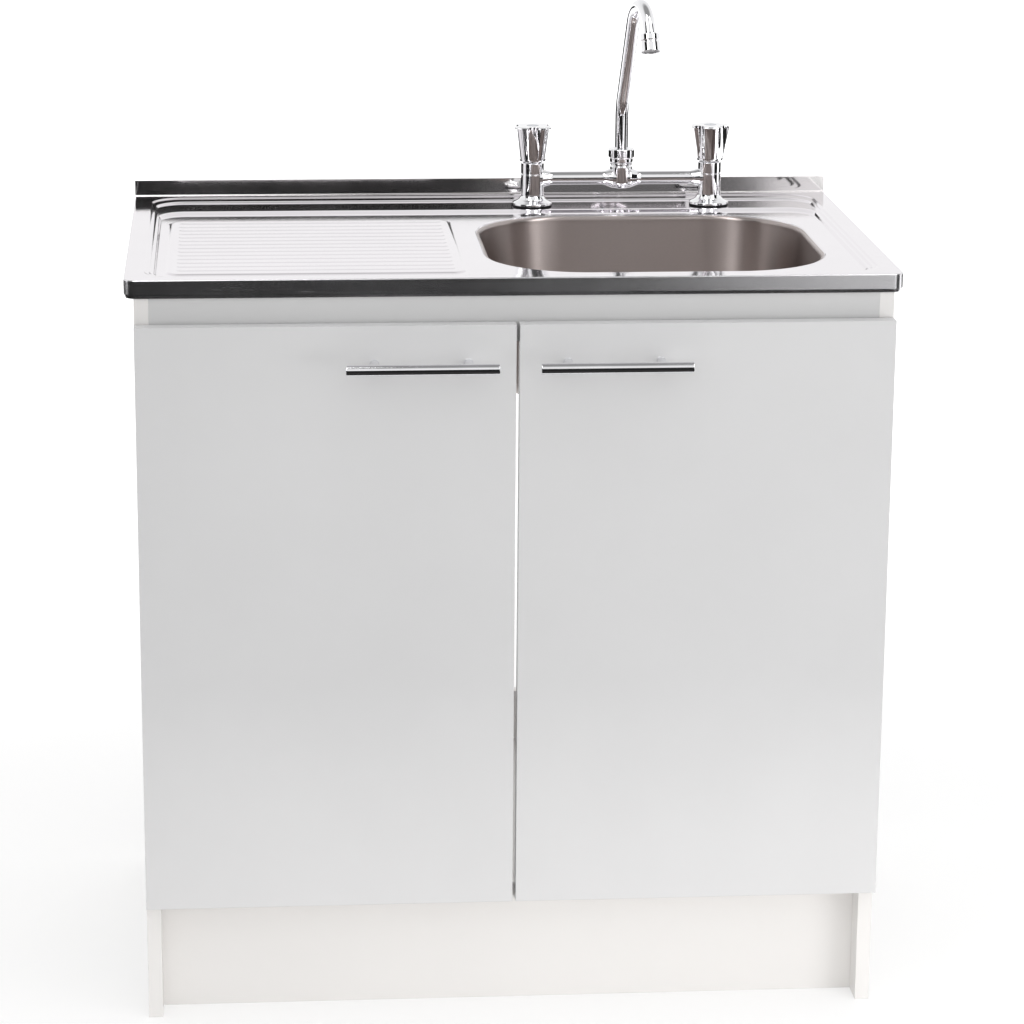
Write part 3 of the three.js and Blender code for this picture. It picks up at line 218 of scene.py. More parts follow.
def add_piece(name, shells, body, slot_name, nodes, sharp=32.0, normals=None, material=None):
    """One mesh object made of shells in millimetres, riding on a body and standing for CAD nodes."""
    points, faces = joined(shells)
    points = points + (0, SHIFT_Y, 0)
    mesh = bpy.data.meshes.new(name)
    mesh.from_pydata((points * MM).tolist(), [], faces)
    mesh.update()
    if normals is None:
        bm = bmesh.new()
        bm.from_mesh(mesh)
        bmesh.ops.recalc_face_normals(bm, faces=bm.faces)
        for face in bm.faces:
            face.smooth = True
        for edge in bm.edges:
            if len(edge.link_faces) == 2 and edge.calc_face_angle(0) > math.radians(sharp):
                edge.smooth = False
        bm.to_mesh(mesh)
        bm.free()
    else:
        mesh.shade_smooth()
        mesh.normals_split_custom_set_from_vertices(normals.tolist())
    mesh.materials.append(material or MATERIALS[slot_name])
    obj = bpy.data.objects.new(name, mesh)
    bpy.context.scene.collection.objects.link(obj)
    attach(obj, body)
    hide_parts(*nodes)


# ------------------------------------------------------------------ materials


# how deep each finish is pressed, ground or grained in, and how round the boards' edges look, m
PEBBLE, WAVE, SCRATCH, STREAK, PLATING, GRAIN = 0.00003, 0.00012, 0.00001, 0.00002, 0.000006, 0.00002
BOARD_EDGE = 0.0007


class Graph:
    """A material's node tree, built by short calls."""

    def __init__(self, name):
        self.material = bpy.data.materials.new(name)
        self.material.use_nodes = True
        self.tree = self.material.node_tree
        self.shader = self.tree.nodes["Principled BSDF"]
        coords = self.tree.nodes.new("ShaderNodeTexCoord")
        self.where = coords.outputs["Object"]

    def set(self, **values):
        names = {"metal": "Metallic", "specular": "Specular IOR Level", "drawn": "Anisotropic",
                 "drawn_turn": "Anisotropic Rotation"}
        for key, value in values.items():
            self.shader.inputs[names[key]].default_value = value

    def node(self, kind, inputs, **settings):
        made = self.tree.nodes.new("ShaderNode" + kind)
        for key, value in settings.items():
            setattr(made, key, value)
        for key, value in inputs.items():
            if isinstance(value, bpy.types.NodeSocket):
                self.tree.links.new(value, made.inputs[key])
            else:
                made.inputs[key].default_value = value
        return made

    def noise(self, scale, detail, stretch=(1, 1, 1)):
        mapping = self.node("Mapping", {"Vector": self.where, "Scale": stretch})
        made = self.node("TexNoise", {"Vector": mapping.outputs["Vector"], "Scale": scale, "Detail": detail})
        return made.outputs["Fac"]

    def ramp(self, factor, stops):
        """A colour ramp with (position, colour) stops."""
        made = self.node("ValToRGB", {"Fac": factor})
        ramp = made.color_ramp
        ramp.elements[0].position, ramp.elements[0].color = stops[0]
        ramp.elements[1].position, ramp.elements[1].color = stops[-1]
        for position, color in stops[1:-1]:
            ramp.elements.new(position).color = color
        return made.outputs["Color"]

    def spread(self, factor, low, high, out_low, out_high):
        made = self.node("MapRange", {"Value": factor, "From Min": low, "From Max": high,
                                      "To Min": out_low, "To Max": out_high})
        return made.outputs["Result"]

    def to(self, name, socket):
        self.tree.links.new(socket, self.shader.inputs[name])

    def tint(self, factor, color, stops, low, high=1.0):
        """The base colour, from its low share of the colour at one stop to its high share at the other."""
        dark = (*(low * c for c in color), 1)
        bright = (*(min(1, high * c) for c in color), 1)
        self.to("Base Color", self.ramp(factor, [(stops[0], dark), (stops[1], bright)]))

    def roughen(self, factor, low, high, rough):
        self.to("Roughness", self.spread(factor, low, high, *rough))

    def edge_normal(self, radius):
        return self.node("Bevel", {"Radius": radius}, samples=4).outputs["Normal"]

    def bump(self, height, distance, strength, normal=None):
        inputs = {"Height": height, "Distance": distance, "Strength": strength}
        if normal is not None:
            inputs["Normal"] = normal
        return self.node("Bump", inputs).outputs["Normal"]


def gray(value):
    return (value, value, value, 1)


def melamine(name, color):
    """Pressed melamine film: a fine pebbled satin skin with a faint cloudiness."""
    g = Graph(name)
    g.set(specular=0.45)
    g.tint(g.noise(3.0, 4), color, (0.3, 0.7), 0.97, 1.015)
    g.roughen(g.noise(12, 3), 0.3, 0.7, (0.33, 0.42))
    g.to("Normal", g.bump(g.noise(1500, 2), PEBBLE, 0.5, g.edge_normal(BOARD_EDGE)))
    return g.material


def polished_steel(name, color, rough, stretch):
    """Bright rolled sheet: hair-fine scratches, faint smears and a slight waviness from pressing."""
    g = Graph(name)
    g.set(metal=1.0)
    smear = g.noise(7, 5)
    g.tint(smear, color, (0.35, 0.65), 0.965)
    scratch = g.noise(260, 3, stretch)
    both = g.node("Math", {0: scratch, 1: smear}, operation="MULTIPLY").outputs[0]
    g.roughen(both, 0.12, 0.4, rough)
    waves = g.bump(g.noise(5, 2), WAVE, 1.0)
    g.to("Normal", g.bump(scratch, SCRATCH, 0.35, waves))
    return g.material


def brushed_steel(name, color, rough, stretch, drawn=0.0):
    """A line-ground finish: long fine streaks. drawn spreads the shine across them."""
    g = Graph(name)
    g.set(metal=1.0)
    streaks = g.noise(420, 4, stretch)
    g.tint(streaks, color, (0.25, 0.7), 0.9)
    mixed = g.node("Math", {0: streaks, 1: g.noise(9, 4)}, operation="ADD").outputs[0]
    g.roughen(mixed, 0.6, 1.4, rough)
    g.to("Normal", g.bump(streaks, STREAK, 0.5))
    if drawn:
        g.set(drawn=drawn, drawn_turn=0.25)
        g.to("Tangent", g.node("Tangent", {}, direction_type="RADIAL", axis="Z").outputs["Tangent"])
    return g.material


def plated(name, color, rough, rounded=0.0):
    """A plated or polished metal with fine grain and faint dulling; rounded softens the edges' shine."""
    g = Graph(name)
    g.set(metal=1.0)
    cloud = g.noise(30, 4)
    g.tint(cloud, color, (0.35, 0.65), 0.94)
    g.roughen(cloud, 0.3, 0.7, rough)
    base = g.edge_normal(rounded) if rounded else None
    g.to("Normal", g.bump(g.noise(600, 2), PLATING, 0.3, base))
    return g.material


def moulded(name, color, rough, specular=0.5):
    """Moulded rubber or plastic with a fine grain."""
    g = Graph(name)
    g.set(specular=specular)
    cloud = g.noise(40, 3)
    g.tint(cloud, color, (0.35, 0.65), 0.92)
    g.roughen(cloud, 0.3, 0.7, rough)
    g.to("Normal", g.bump(g.noise(900, 3), GRAIN, 0.5))
    return g.material


MATERIALS = {
    "cabinet_board": melamine("cabinet_board", (0.87, 0.855, 0.84)),
    "door_board": melamine("door_board", (0.74, 0.74, 0.745)),
    "handle_chrome": plated("handle_chrome", (0.88, 0.88, 0.9), (0.05, 0.1)),
    "screw_zinc": plated("screw_zinc", (0.62, 0.63, 0.64), (0.25, 0.4), rounded=0.0004),
    "hinge_steel": plated("hinge_steel", (0.66, 0.66, 0.67), (0.16, 0.28), rounded=0.0006),
    "deck_steel": polished_steel("deck_steel", (0.84, 0.812, 0.84), (0.06, 0.11), (1, 14, 14)),
    "bowl_steel": brushed_steel("bowl_steel", (0.49, 0.435, 0.42), (0.31, 0.38), (1, 1, 9), drawn=0.9),
    "waste_steel": plated("waste_steel", (0.8, 0.8, 0.8), (0.1, 0.18)),
    "black_rubber": moulded("black_rubber", (0.012, 0.012, 0.013), (0.6, 0.75), specular=0.15),
    "grey_plastic": moulded("grey_plastic", (0.62, 0.62, 0.63), (0.35, 0.5)),
    "brass": plated("brass", (0.75, 0.56, 0.28), (0.16, 0.3), rounded=0.0004),
    "tap_chrome": plated("tap_chrome", (0.93, 0.93, 0.945), (0.02, 0.05)),
    "index_plastic": moulded("index_plastic", (0.62, 0.64, 0.68), (0.2, 0.3)),
}
APRON_STEEL = brushed_steel("apron_steel", (0.80, 0.79, 0.81), (0.2, 0.28), (0.03, 1, 3))
# the front rail gets a darker copy of the carcass board: painted shade for the shadow that the top's apron
# and the doors' top edges cast on it
RAIL_BOARD_PAINTED_SHADE = melamine("rail_board_painted_shade", (0.67, 0.67, 0.67))
UPSTAND_STEEL = polished_steel("upstand_steel", (0.82, 0.80, 0.80), (0.05, 0.1), (0.3, 8, 8))

slot_of = {part["node"]: part["material_slot"] for part in frame["record"]["subparts"]}
for name, obj in frame["nodes"].items():
    obj.data.materials.clear()
    # the front rail takes the darker board, which is painted shade; every other node keeps its slot's
    # material
    obj.data.materials.append(RAIL_BOARD_PAINTED_SHADE if name == "front_rail" else MATERIALS[slot_of[name]])

# ------------------------------------------------------------------ sink deck


def ramp(t, ease=0.3):
    """A ramp from 0 to 1 with eased ends."""
    t = np.clip(t, 0, 1)
    slope = 1 / (1 - ease)
    middle = slope * (t - ease / 2)
    start = slope * t**2 / (2 * ease)
    end = 1 - slope * (1 - t) ** 2 / (2 * ease)
    return np.where(t < ease, start, np.where(t > 1 - ease, end, middle))


def rounded_distance(x, y, box, radius):
    """Distance to a rounded rectangle, positive inside."""
    x0, x1, y0, y1 = box
    qx = np.abs(x - (x0 + x1) / 2) - (x1 - x0) / 2 + radius
    qy = np.abs(y - (y0 + y1) / 2) - (y1 - y0) / 2 + radius
    outside = np.hypot(np.maximum(qx, 0), np.maximum(qy, 0)) + np.minimum(np.maximum(qx, qy), 0)
    return radius - outside


# inset from the side, front and back edges of each line of the recess, from the rim to the floor
LINES = np.array([
    (19, 15, 15), (22.5, 18.5, 19), (24, 20, 36),
    (27.5, 23.5, 42), (29, 25, 90), (32.5, 28.5, 104),
])
LAST = len(LINES) - 1


def recess_inset(u):
    """The three insets of the recess's ring u, which may lie between two lines."""
    u = np.asarray(u, float)
    k = np.minimum(u.astype(int), LAST - 1)
    return LINES[k] + (LINES[k + 1] - LINES[k]) * (u - k)[..., None]


def recess_box(u):
    side, front, back = recess_inset(u).T
    box = (side - TOP_W / 2, TOP_W / 2 - side, front - TOP_D / 2, TOP_D / 2 - back)
    return box, RECESS_R - (side - LINES[0, 0]) / 2


def recess_share(x, y):
    """0 on the rim to LAST on the floor, by the ring of the recess that a point lies on."""
    low, high = np.zeros_like(x), np.full_like(x, float(LAST))
    for _ in range(24):
        mid = (low + high) / 2
        box, radius = recess_box(mid)
        inside = rounded_distance(x, y, box, radius) > 0
        low, high = np.where(inside, mid, low), np.where(inside, high, mid)
    return (low + high) / 2


BOWL_BOX = (BOWL_X - BOWL_HALF[0], BOWL_X + BOWL_HALF[0], BOWL_Y - BOWL_HALF[1], BOWL_Y + BOWL_HALF[1])


def rib_box(y):
    return (*RIB_ENDS, y - RIB_HALF, y + RIB_HALF)


def height(x, y):
    """The height of the top's upper face: three steps down, the field, its ribs and the bowl's mouth."""
    u = recess_share(x, y)
    z = RIM - (RIM - CHANNEL) * ramp(u, 0.4) - (CHANNEL - LEDGE) * ramp(u - 2, 0.35)
    z -= (LEDGE - FLOOR) * ramp(u - 4, 0.3)
    z += FIELD_RISE * ramp(rounded_distance(x, y, FIELD, FIELD_R) / FIELD_RUN, 0.4)
    for rib in RIB_Y:
        z += RIB_RISE * ramp(rounded_distance(x, y, rib_box(rib), RIB_R) / RIB_RUN, 0.45)
    edge = -rounded_distance(x, y, BOWL_BOX, BOWL_R)
    return z - MOUTH_DROP * ramp((MOUTH_RUN - edge) / MOUTH_RUN, 0.45) * (edge < MOUTH_RUN)


def surface_normals(x, y):
    step = 0.05
    slope_x = (height(x + step, y) - height(x - step, y)) / (2 * step)
    slope_y = (height(x, y + step) - height(x, y - step)) / (2 * step)
    n = np.c_[-slope_x, -slope_y, np.ones_like(slope_x)]
    return n / np.linalg.norm(n, axis=1)[:, None]


def ring_inside(box, radius, inset, steps):
    x0, x1, y0, y1 = box
    r = max(radius - inset, 0.01)
    return rounded_ring(x0 + inset, x1 - inset, y0 + inset, y1 - inset, r, r, steps)


def deck_edge(inset, steps=10):
    """The top's outline, with a support point beyond each end of a corner."""
    half_w, half_d = TOP_W / 2 - inset, TOP_D / 2 - inset
    ring = rounded_ring(-half_w, half_w, -half_d, half_d, CORNER - inset, BACK_CORNER, steps)
    corners = ring.reshape(4, steps + 1, 2)
    first = corners[:, 0] + 0.5 * (corners[:, 0] - corners[:, 1])
    last = corners[:, -1] + 0.5 * (corners[:, -1] - corners[:, -2])
    return np.concatenate([first[:, None], corners, last[:, None]], axis=1).reshape(-1, 2)


TAP_SIDES = 32


def tap_centres():
    return [(TAP_X + sign * TAP_SPACING / 2, TAP_Y) for sign in (-1, 1)]


def deck_lines():
    """The closed lines that the top's triangles follow."""
    lines = [deck_edge(BEND)]
    eased = (0, 0.1, 0.2, 0.3, 0.4, 0.5, 0.6, 0.7, 0.8, 0.9)
    for u in [start + t for start in (0, 2, 4) for t in eased] + [1, 1.5, 3, 3.5, LAST]:
        box, radius = recess_box(u)
        lines.append(ring_inside(box, radius, 0, 14))
    lines += [ring_inside(FIELD, FIELD_R, d, 8) for d in (0, 0.8, 1.6, 2.4, 3.6, 4.4, 5.2, FIELD_RUN)]
    for rib in RIB_Y:
        lines += [ring_inside(rib_box(rib), RIB_R, d, 6) for d in (0, 0.5, 1, 1.5, 2, 2.5, 3, RIB_RUN)]
    lines += [ring_inside(BOWL_BOX, BOWL_R, -d, 28) for d in (0, 0.25, 0.5, 0.8, 1.1, 1.4, MOUTH_RUN, 3)]
    a = 2 * np.pi * np.arange(TAP_SIDES) / TAP_SIDES
    for x, y in tap_centres():
        lines.append(np.c_[x + TAP_HOLE * np.cos(a), y + TAP_HOLE * np.sin(a)])
    return lines


def deck_top():
    """The upper face's points in plan and its triangles, without the bowl's mouth and the tap holes."""
    points, edges = [], []
    for line in deck_lines():
        first = len(points)
        n = len(line)
        points += [Vector(p) for p in line]
        edges += [(first + i, first + (i + 1) % n) for i in range(n)]
    made = delaunay_2d_cdt(points, edges, [], 0, 1e-4)
    xy = np.array([tuple(v) for v in made[0]])
    faces = np.array([f for f in made[2] if len(f) == 3])
    x, y = xy[faces].mean(axis=1).T
    half_w, half_d = TOP_W / 2 - BEND, TOP_D / 2 - BEND
    keep = rounded_distance(x, y, (-half_w, half_w, -half_d, half_d), BACK_CORNER) > 0
    past_x, past_y = np.abs(x) - (TOP_W / 2 - CORNER), -y - (TOP_D / 2 - CORNER)
    keep &= ~((past_x > 0) & (past_y > 0) & (np.hypot(past_x, past_y) > CORNER - BEND))
    keep &= rounded_distance(x, y, BOWL_BOX, BOWL_R) < 0
    for tap_x, tap_y in tap_centres():
        keep &= np.hypot(x - tap_x, y - tap_y) > TAP_HOLE * math.cos(math.pi / TAP_SIDES)
    return xy, faces[keep]


def build_deck():
    xy, faces = deck_top()
    used, faces = np.unique(faces, return_inverse=True)
    xy, faces = xy[used], faces.reshape(-1, 3)
    a, b = xy[faces[:, 1]] - xy[faces[:, 0]], xy[faces[:, 2]] - xy[faces[:, 0]]
    faces = np.where((a[:, 0] * b[:, 1] < a[:, 1] * b[:, 0])[:, None], faces[:, ::-1], faces).tolist()
    top = np.c_[xy, height(*xy.T)]
    normals = surface_normals(*xy.T)
    shells = [(top, faces), (top - (0, 0, SHEET), [f[::-1] for f in faces])]
    add_piece("deck_sheet", shells, "cabinet", "deck_steel", ["sink_deck"],
              normals=np.vstack([normals, -normals]))


def build_apron():
    """The bend at the rim, the flat face, the slope in to the hem, and the face's inner side."""
    rings = []
    for a in np.linspace(0, 90, 7):
        s, c = math.sin(math.radians(a)), math.cos(math.radians(a))
        rings.append(at(deck_edge(BEND - BEND * s), RIM - BEND + BEND * c))
    for z in (RIM - BEND - 0.2, TUCK_Z + 1.0, TUCK_Z + 0.8):
        rings.append(at(deck_edge(0), z))
    slope_top = TUCK_Z + 0.5
    for t in np.linspace(0, 1, 5):
        rings.append(at(deck_edge(SHEET * t), slope_top - (slope_top - APRON_LOW) * t))
    for t in np.linspace(0, 1, 4):
        rings.append(at(deck_edge(SHEET + HEM * t), APRON_LOW - 0.2 * math.sin(math.pi * t)))
    rings.append(at(deck_edge(SHEET), TUCK_Z))
    rings.append(at(deck_edge(SHEET), RIM - BEND))
    add_piece("deck_apron", [loft(rings, caps=False)], "cabinet", "deck_steel", ["sink_deck"],
              sharp=50, material=APRON_STEEL)


def build_upstand():
    """The back edge folded up and over: its (depth, height) outline, drawn along the top's width."""
    back, inner = TOP_D / 2, TOP_D / 2 - 0.8
    front, foot = back - UPSTAND_DEEP, back - UPSTAND_FOOT
    outline = fillet(
        [(foot, RIM + 0.03), (front, RIM + 0.03), (front, UPSTAND_TOP), (back, UPSTAND_TOP),
         (back, UPSTAND_LOW)],
        [0, 1.6, 0.8, 0.8, 0],
    )
    profile = np.vstack([outline, [(inner, UPSTAND_LOW), (inner, RIM - 0.8), (foot, RIM - 0.8)]])
    xs = np.linspace(-TOP_W / 2, TOP_W / 2, 9)
    rings = [np.c_[np.full(len(profile), x), profile] for x in xs]
    add_piece("upstand", [loft(rings)], "cabinet", "deck_steel", ["sink_deck"], sharp=40,
              material=UPSTAND_STEEL)


# ------------------------------------------------------------------ bowl


def bowl_ring(inset, z, steps=24):
    r = BOWL_R - inset
    x0, x1, y0, y1 = BOWL_BOX
    return at(rounded_ring(x0 + inset, x1 - inset, y0 + inset, y1 - inset, r, r, steps), z)


def waste_ring(radius, z, steps=24):
    return at(rounded_ring(BOWL_X - radius, BOWL_X + radius, BOWL_Y - radius, BOWL_Y + radius,
                           radius, radius, steps), z)


def bowl_profile(t):
    """(inset, height) from the bowl's lip down its wall and round its heel; t thickens it outwards."""
    made = []
    lip, heel = BOWL_LIP - t, BOWL_HEEL + t
    for a in np.radians(np.linspace(90, 0, 9)):
        made.append((lip * math.cos(a), BOWL_TOP - BOWL_LIP + lip * math.sin(a)))
    # rings close to each rounding keep the wall flat in the shading
    made += [(lip, BOWL_TOP - BOWL_LIP - 1), (lip, BOWL_TOP - BOWL_LIP - 4)]
    heel_z = BOWL_FLOOR + BOWL_HEEL
    made += [(BOWL_DRAFT - t, heel_z + 4), (BOWL_DRAFT - t, heel_z + 1)]
    for a in np.radians(np.linspace(0, 90, 15)):
        made.append((BOWL_DRAFT + BOWL_HEEL - heel * math.cos(a), heel_z - heel * math.sin(a)))
    return made


def build_bowl():
    def side(t):
        rings = [bowl_ring(i, z) for i, z in bowl_profile(t)]
        heel = rings[-1]
        seat = waste_ring(SEAT_R + SEAT_BEVEL + t, BOWL_FLOOR - BOWL_FALL - t)
        for s in (0.25, 0.5, 0.75, 0.97):
            rings.append(heel * (1 - s) + seat * s)
        rings.append(seat)
        for radius, z in ((SEAT_R + SEAT_BEVEL / 2, SEAT + 1), (SEAT_R, SEAT), (SEAT_HOLE, SEAT)):
            rings.append(waste_ring(radius, z - t))
        return rings

    inner = [bowl_ring(-BOWL_FLANGE, BOWL_TOP), bowl_ring(-1, BOWL_TOP)] + side(0.0)
    outer = [bowl_ring(-BOWL_FLANGE, BOWL_TOP - SHEET)] + side(SHEET)
    add_piece("bowl", [loft(inner + outer[::-1], looped=True)], "cabinet", "bowl_steel", ["sink_bowl"],
              sharp=40)


# ------------------------------------------------------------------ waste and basket


def at_waste(shell):
    return moved(shell, place(BOWL_X, BOWL_Y, 0))


def build_waste():
    """The waste's body: its dished flange, the cup, the spigot and the cross of bars that guards it."""
    top, wall = SEAT + FLANGE_THICK, WASTE_WALL
    outline = fillet(
        [(CUP_R, top - 6), (CUP_R, top - 0.6), (45, top + 0.1), (FLANGE_R, top - 0.7), (FLANGE_R, SEAT),
         (CUP_R + wall, SEAT), (CUP_R + wall, CUP_SHOULDER), (35, CUP_FLOOR - wall), (24, CUP_FLOOR - wall),
         (SPIGOT_R + wall, 591), (SPIGOT_R + wall, SPIGOT_LOW), (SPIGOT_R, SPIGOT_LOW),
         (SPIGOT_R, CUP_FLOOR), (32.4, CUP_FLOOR), (CUP_R, CUP_SHOULDER), (CUP_R, top - 6)],
        [0, 1.2, 3, 0.6, 0.3, 0.5, 2, 2, 2, 2, 0, 0, 1, 3, 3, 0], 4,
    )
    long, wide = CROSS_HALF, CROSS_THICK
    bar = np.array([(-long, -wide), (long, -wide), (long, wide), (-long, wide)])
    bar = loft([at(bar, CUP_FLOOR - CROSS_DEEP), at(bar, CUP_FLOOR - 0.4)])
    shells = [at_waste(shell) for shell in (revolve(outline, 96), bar, turned(bar, 90))]
    add_piece("waste_cup", shells, "cabinet", "waste_steel", ["waste_body"])


def drilled(shell, cutters):
    """The shell with the cutters' bodies taken out of it."""
    made = []
    for name, shells in (("whole", [shell]), ("cutter", cutters)):
        points, faces = joined(shells)
        mesh = bpy.data.meshes.new(name)
        mesh.from_pydata(points.tolist(), [], faces)
        bm = bmesh.new()
        bm.from_mesh(mesh)
        bmesh.ops.recalc_face_normals(bm, faces=bm.faces)
        bm.to_mesh(mesh)
        bm.free()
        made.append(bpy.data.objects.new(name, mesh))
        bpy.context.scene.collection.objects.link(made[-1])
    whole, cutter = made
    cut = whole.modifiers.new("cut", "BOOLEAN")
    cut.operation, cut.solver, cut.object = "DIFFERENCE", "EXACT", cutter
    seen = whole.evaluated_get(bpy.context.evaluated_depsgraph_get())
    result = bpy.data.meshes.new_from_object(seen)
    out = np.array([v.co[:] for v in result.vertices]), [tuple(p.vertices) for p in result.polygons]
    for obj in made:
        bpy.data.meshes.remove(obj.data)
    bpy.data.meshes.remove(result)
    return out


def strainer_holes(base, inside):
    """The bodies to take out of the basket: eight holes through its side and four through its base."""
    r = STRAINER_HOLE
    side = revolve([(0, 31), (r, 31), (r, 45), (0, 45)], 32)
    side = moved(side, place(0, 0, base + STRAINER_ROW, TO_X))
    down = revolve([(0, base - 1), (r, base - 1), (r, inside + 1), (0, inside + 1)], 32)
    down = moved(down, place(27, 0, 0))
    return [turned(side, 45 * (i + 0.5)) for i in range(8)] + [turned(down, 90 * i) for i in range(4)]


def build_basket():
    """The basket with its holes, the rubber stopper under it and the knob that lifts both."""
    bore, base, rim = BASKET_BORE, BASKET_BASE, BASKET_BASE + BASKET_HIGH
    inside = base + BASKET_WALL
    outline = fillet(
        [(bore, base), (31, base), (37, base + 6), (39, rim - 2), (41, rim), (40, rim + 0.6),
         (37.8, rim - 1), (35.8, inside + 6), (29.8, inside), (bore, inside), (bore, base)],
        [0, 3, 4, 1.5, 0.3, 0.3, 1.5, 4, 3, 0, 0], 4,
    )
    cup = drilled(revolve(outline, 96), strainer_holes(base, inside))
    add_piece("basket", [at_waste(cup)], "basket", "waste_steel", ["basket_cup"], sharp=38)
    low, high = base - STOPPER_DEEP, base - 0.3
    stopper = fillet(
        [(bore, low), (19, low), (STOPPER_R, low + 2), (STOPPER_R - 1, high), (bore, high), (bore, low)],
        [0, 1, 0.8, 0.8, 0, 0], 4,
    )
    add_piece("stopper", [at_waste(revolve(stopper, 80))], "basket", "black_rubber", ["basket_stopper"])
    stem, top = bore - 0.3, rim - 2
    knob = fillet(
        [(0, low + 0.3), (stem, low + 0.3), (stem, base + 1.5), (4.5, base + 1.5), (3.2, top - 12),
         (9, top - 4), (9, top - 1.5), (7, top), (5.5, top - 0.5), (0, top - 0.5)],
        [0, 0.3, 0, 0.4, 3, 1.5, 1.2, 1.0, 0.5, 0],
    )
    add_piece("basket_grip", [at_waste(revolve(knob, 72))], "basket", "waste_steel", ["basket_knob"])


def tube_outline(bore, radius, low, high, soft_low, soft_high, steps):
    """A tube's closed (radius, height) outline, with its outer edges rounded."""
    return fillet([(bore, low), (radius, low), (radius, high), (bore, high), (bore, low)],
                  [0, soft_low, soft_high, 0, 0], steps)


def build_drain():
    """What hangs under the bowl: the lugged locknut, its seal, the tail and the fluted tail nut."""
    ring = tube_outline(DRAIN_BORE, LOCKNUT_R, LOCKNUT_LOW, LOCKNUT_TOP, 1, 0.8, 4)
    lug = fillet([(46.5, -5), (53, -5), (53, 5), (46.5, 5)], [0, 1.5, 1.5, 0])
    lug = loft([at(lug, LOCKNUT_LOW + 0.4), at(lug, LOCKNUT_TOP - 3.4)])
    shells = [at_waste(revolve(ring, 96))] + [at_waste(turned(lug, 60 * i)) for i in range(6)]
    add_piece("locknut", shells, "cabinet", slot_of["waste_locknut"], ["waste_locknut"])
    seal = tube_outline(DRAIN_BORE, SEAL_R, LOCKNUT_TOP, SEAL_TOP, 0.8, 0.8, 4)
    add_piece("seal", [at_waste(revolve(seal, 96))], "cabinet", "black_rubber", ["waste_gasket"])
    tail = tube_outline(TAIL_BORE, TAIL_R, TAIL_LOW, TAIL_TOP, 0.4, 0.4, 3)
    add_piece("tail", [at_waste(revolve(tail, 96))], "cabinet", slot_of["waste_tail"], ["waste_tail"])
    count = 192
    a = 2 * np.pi * np.arange(count) / count
    rings = []
    for r, z in tube_outline(TAIL_NUT_BORE, TAIL_NUT_R, TAIL_NUT_LOW, TAIL_NUT_TOP, 1.2, 1.2, 4)[:-1]:
        grip = 0.35 * (r - 22) / 4 * (1 - np.cos(24 * a)) if r > 22 else 0
        rings.append(np.c_[(r - grip) * np.cos(a), (r - grip) * np.sin(a), np.full(count, z)])
    add_piece("tail_nut", [at_waste(loft(rings, looped=True))], "cabinet", slot_of["waste_tail_nut"],
              ["waste_tail_nut"])


# ------------------------------------------------------------------ handles


def build_handle(side, sign):
    """A round bar on two posts that end a little wider where they meet the door."""
    centre, reach = sign * (BAR_INSET + BAR_HALF), DOOR_FACE - BAR_Y
    bar = fillet([(0, -BAR_HALF), (BAR_R, -BAR_HALF), (BAR_R, BAR_HALF), (0, BAR_HALF)], [0, 0.7, 0.7, 0], 4)
    post = fillet([(0, 0), (POST_R, 0), (POST_R, reach - 1), (POST_R + 0.7, reach), (0, reach)],
                  [0, 0, 1, 0, 0], 4)
    shells = [moved(revolve(bar, 64), place(centre, BAR_Y, BAR_Z, TO_X))]
    for end in (-1, 1):
        shells.append(moved(revolve(post, 48), place(centre + end * POST_HALF, BAR_Y, BAR_Z, TO_Y)))
    add_piece("bar_handle_" + side, shells, f"door_{side}_leaf", "handle_chrome", [f"handle_{side}"])


# ------------------------------------------------------------------ mixer


def at_mixer(shell, dx=0.0, turn=None):
    return moved(shell, place(TAP_X + dx, TAP_Y, LEDGE, turn))


def build_mixer_body():
    """The casting: two pillars on flanges, a bridge that widens towards them, and the spout's hub."""
    pillar = fillet(
        [(0, -50), (10.4, -50), (10.4, 2), (22.5, 2), (22.5, 4.2), (15.6, 7.4), (13.25, 12), (13.25, 36.2),
         (12.7, 36.6), (12.7, 37.2), (13.25, 37.6), (13.25, 49.4), (12.05, 50.6), (0, 50.6)],
        [0, 0.5, 0, 0.3, 1.2, 5, 6, 0.4, 0.2, 0.2, 0.4, 0.8, 0.4, 0], 6,
    )
    reach = TAP_SPACING / 2
    bridge = fillet(
        [(0, 0), (11.75, 0), (11.6, 10.5), (7.75, 20), (7.75, reach - 21), (10.8, reach - 11.5),
         (10.8, reach), (0, reach)],
        [0, 0, 4, 14, 14, 4, 0, 0], 8,
    )
    hub = fillet(
        [(0, 19), (8, 20), (13, 26), (13, 44.8), (11.7, 46.2), (13, 47.6), (13, 49), (10.8, 49),
         (10.8, 58), (0, 58)],
        [0, 4, 6, 0.6, 0.5, 0.5, 0.4, 0, 0.5, 0], 6,
    )
    shells = [at_mixer(revolve(pillar, 96), sign * reach) for sign in (-1, 1)]
    half = revolve(bridge, 64)
    for way in (TO_X, TO_X @ Matrix.Rotation(math.pi, 4, "X")):
        shells.append(at_mixer(moved(half, place(0, 0, BRIDGE_Z, way))))
    shells.append(at_mixer(revolve(hub, 96)))
    add_piece("mixer_casting", shells, "cabinet", "tap_chrome", ["mixer_body"], sharp=28)


def build_gasket(side, sign):
    outline = tube_outline(10.8, 22.3, 0, 2, 0.5, 0.5, 3)
    add_piece("gasket_" + side, [at_mixer(revolve(outline, 72), sign * TAP_SPACING / 2)], "cabinet",
              "black_rubber", [f"tap_gasket_{side}"])


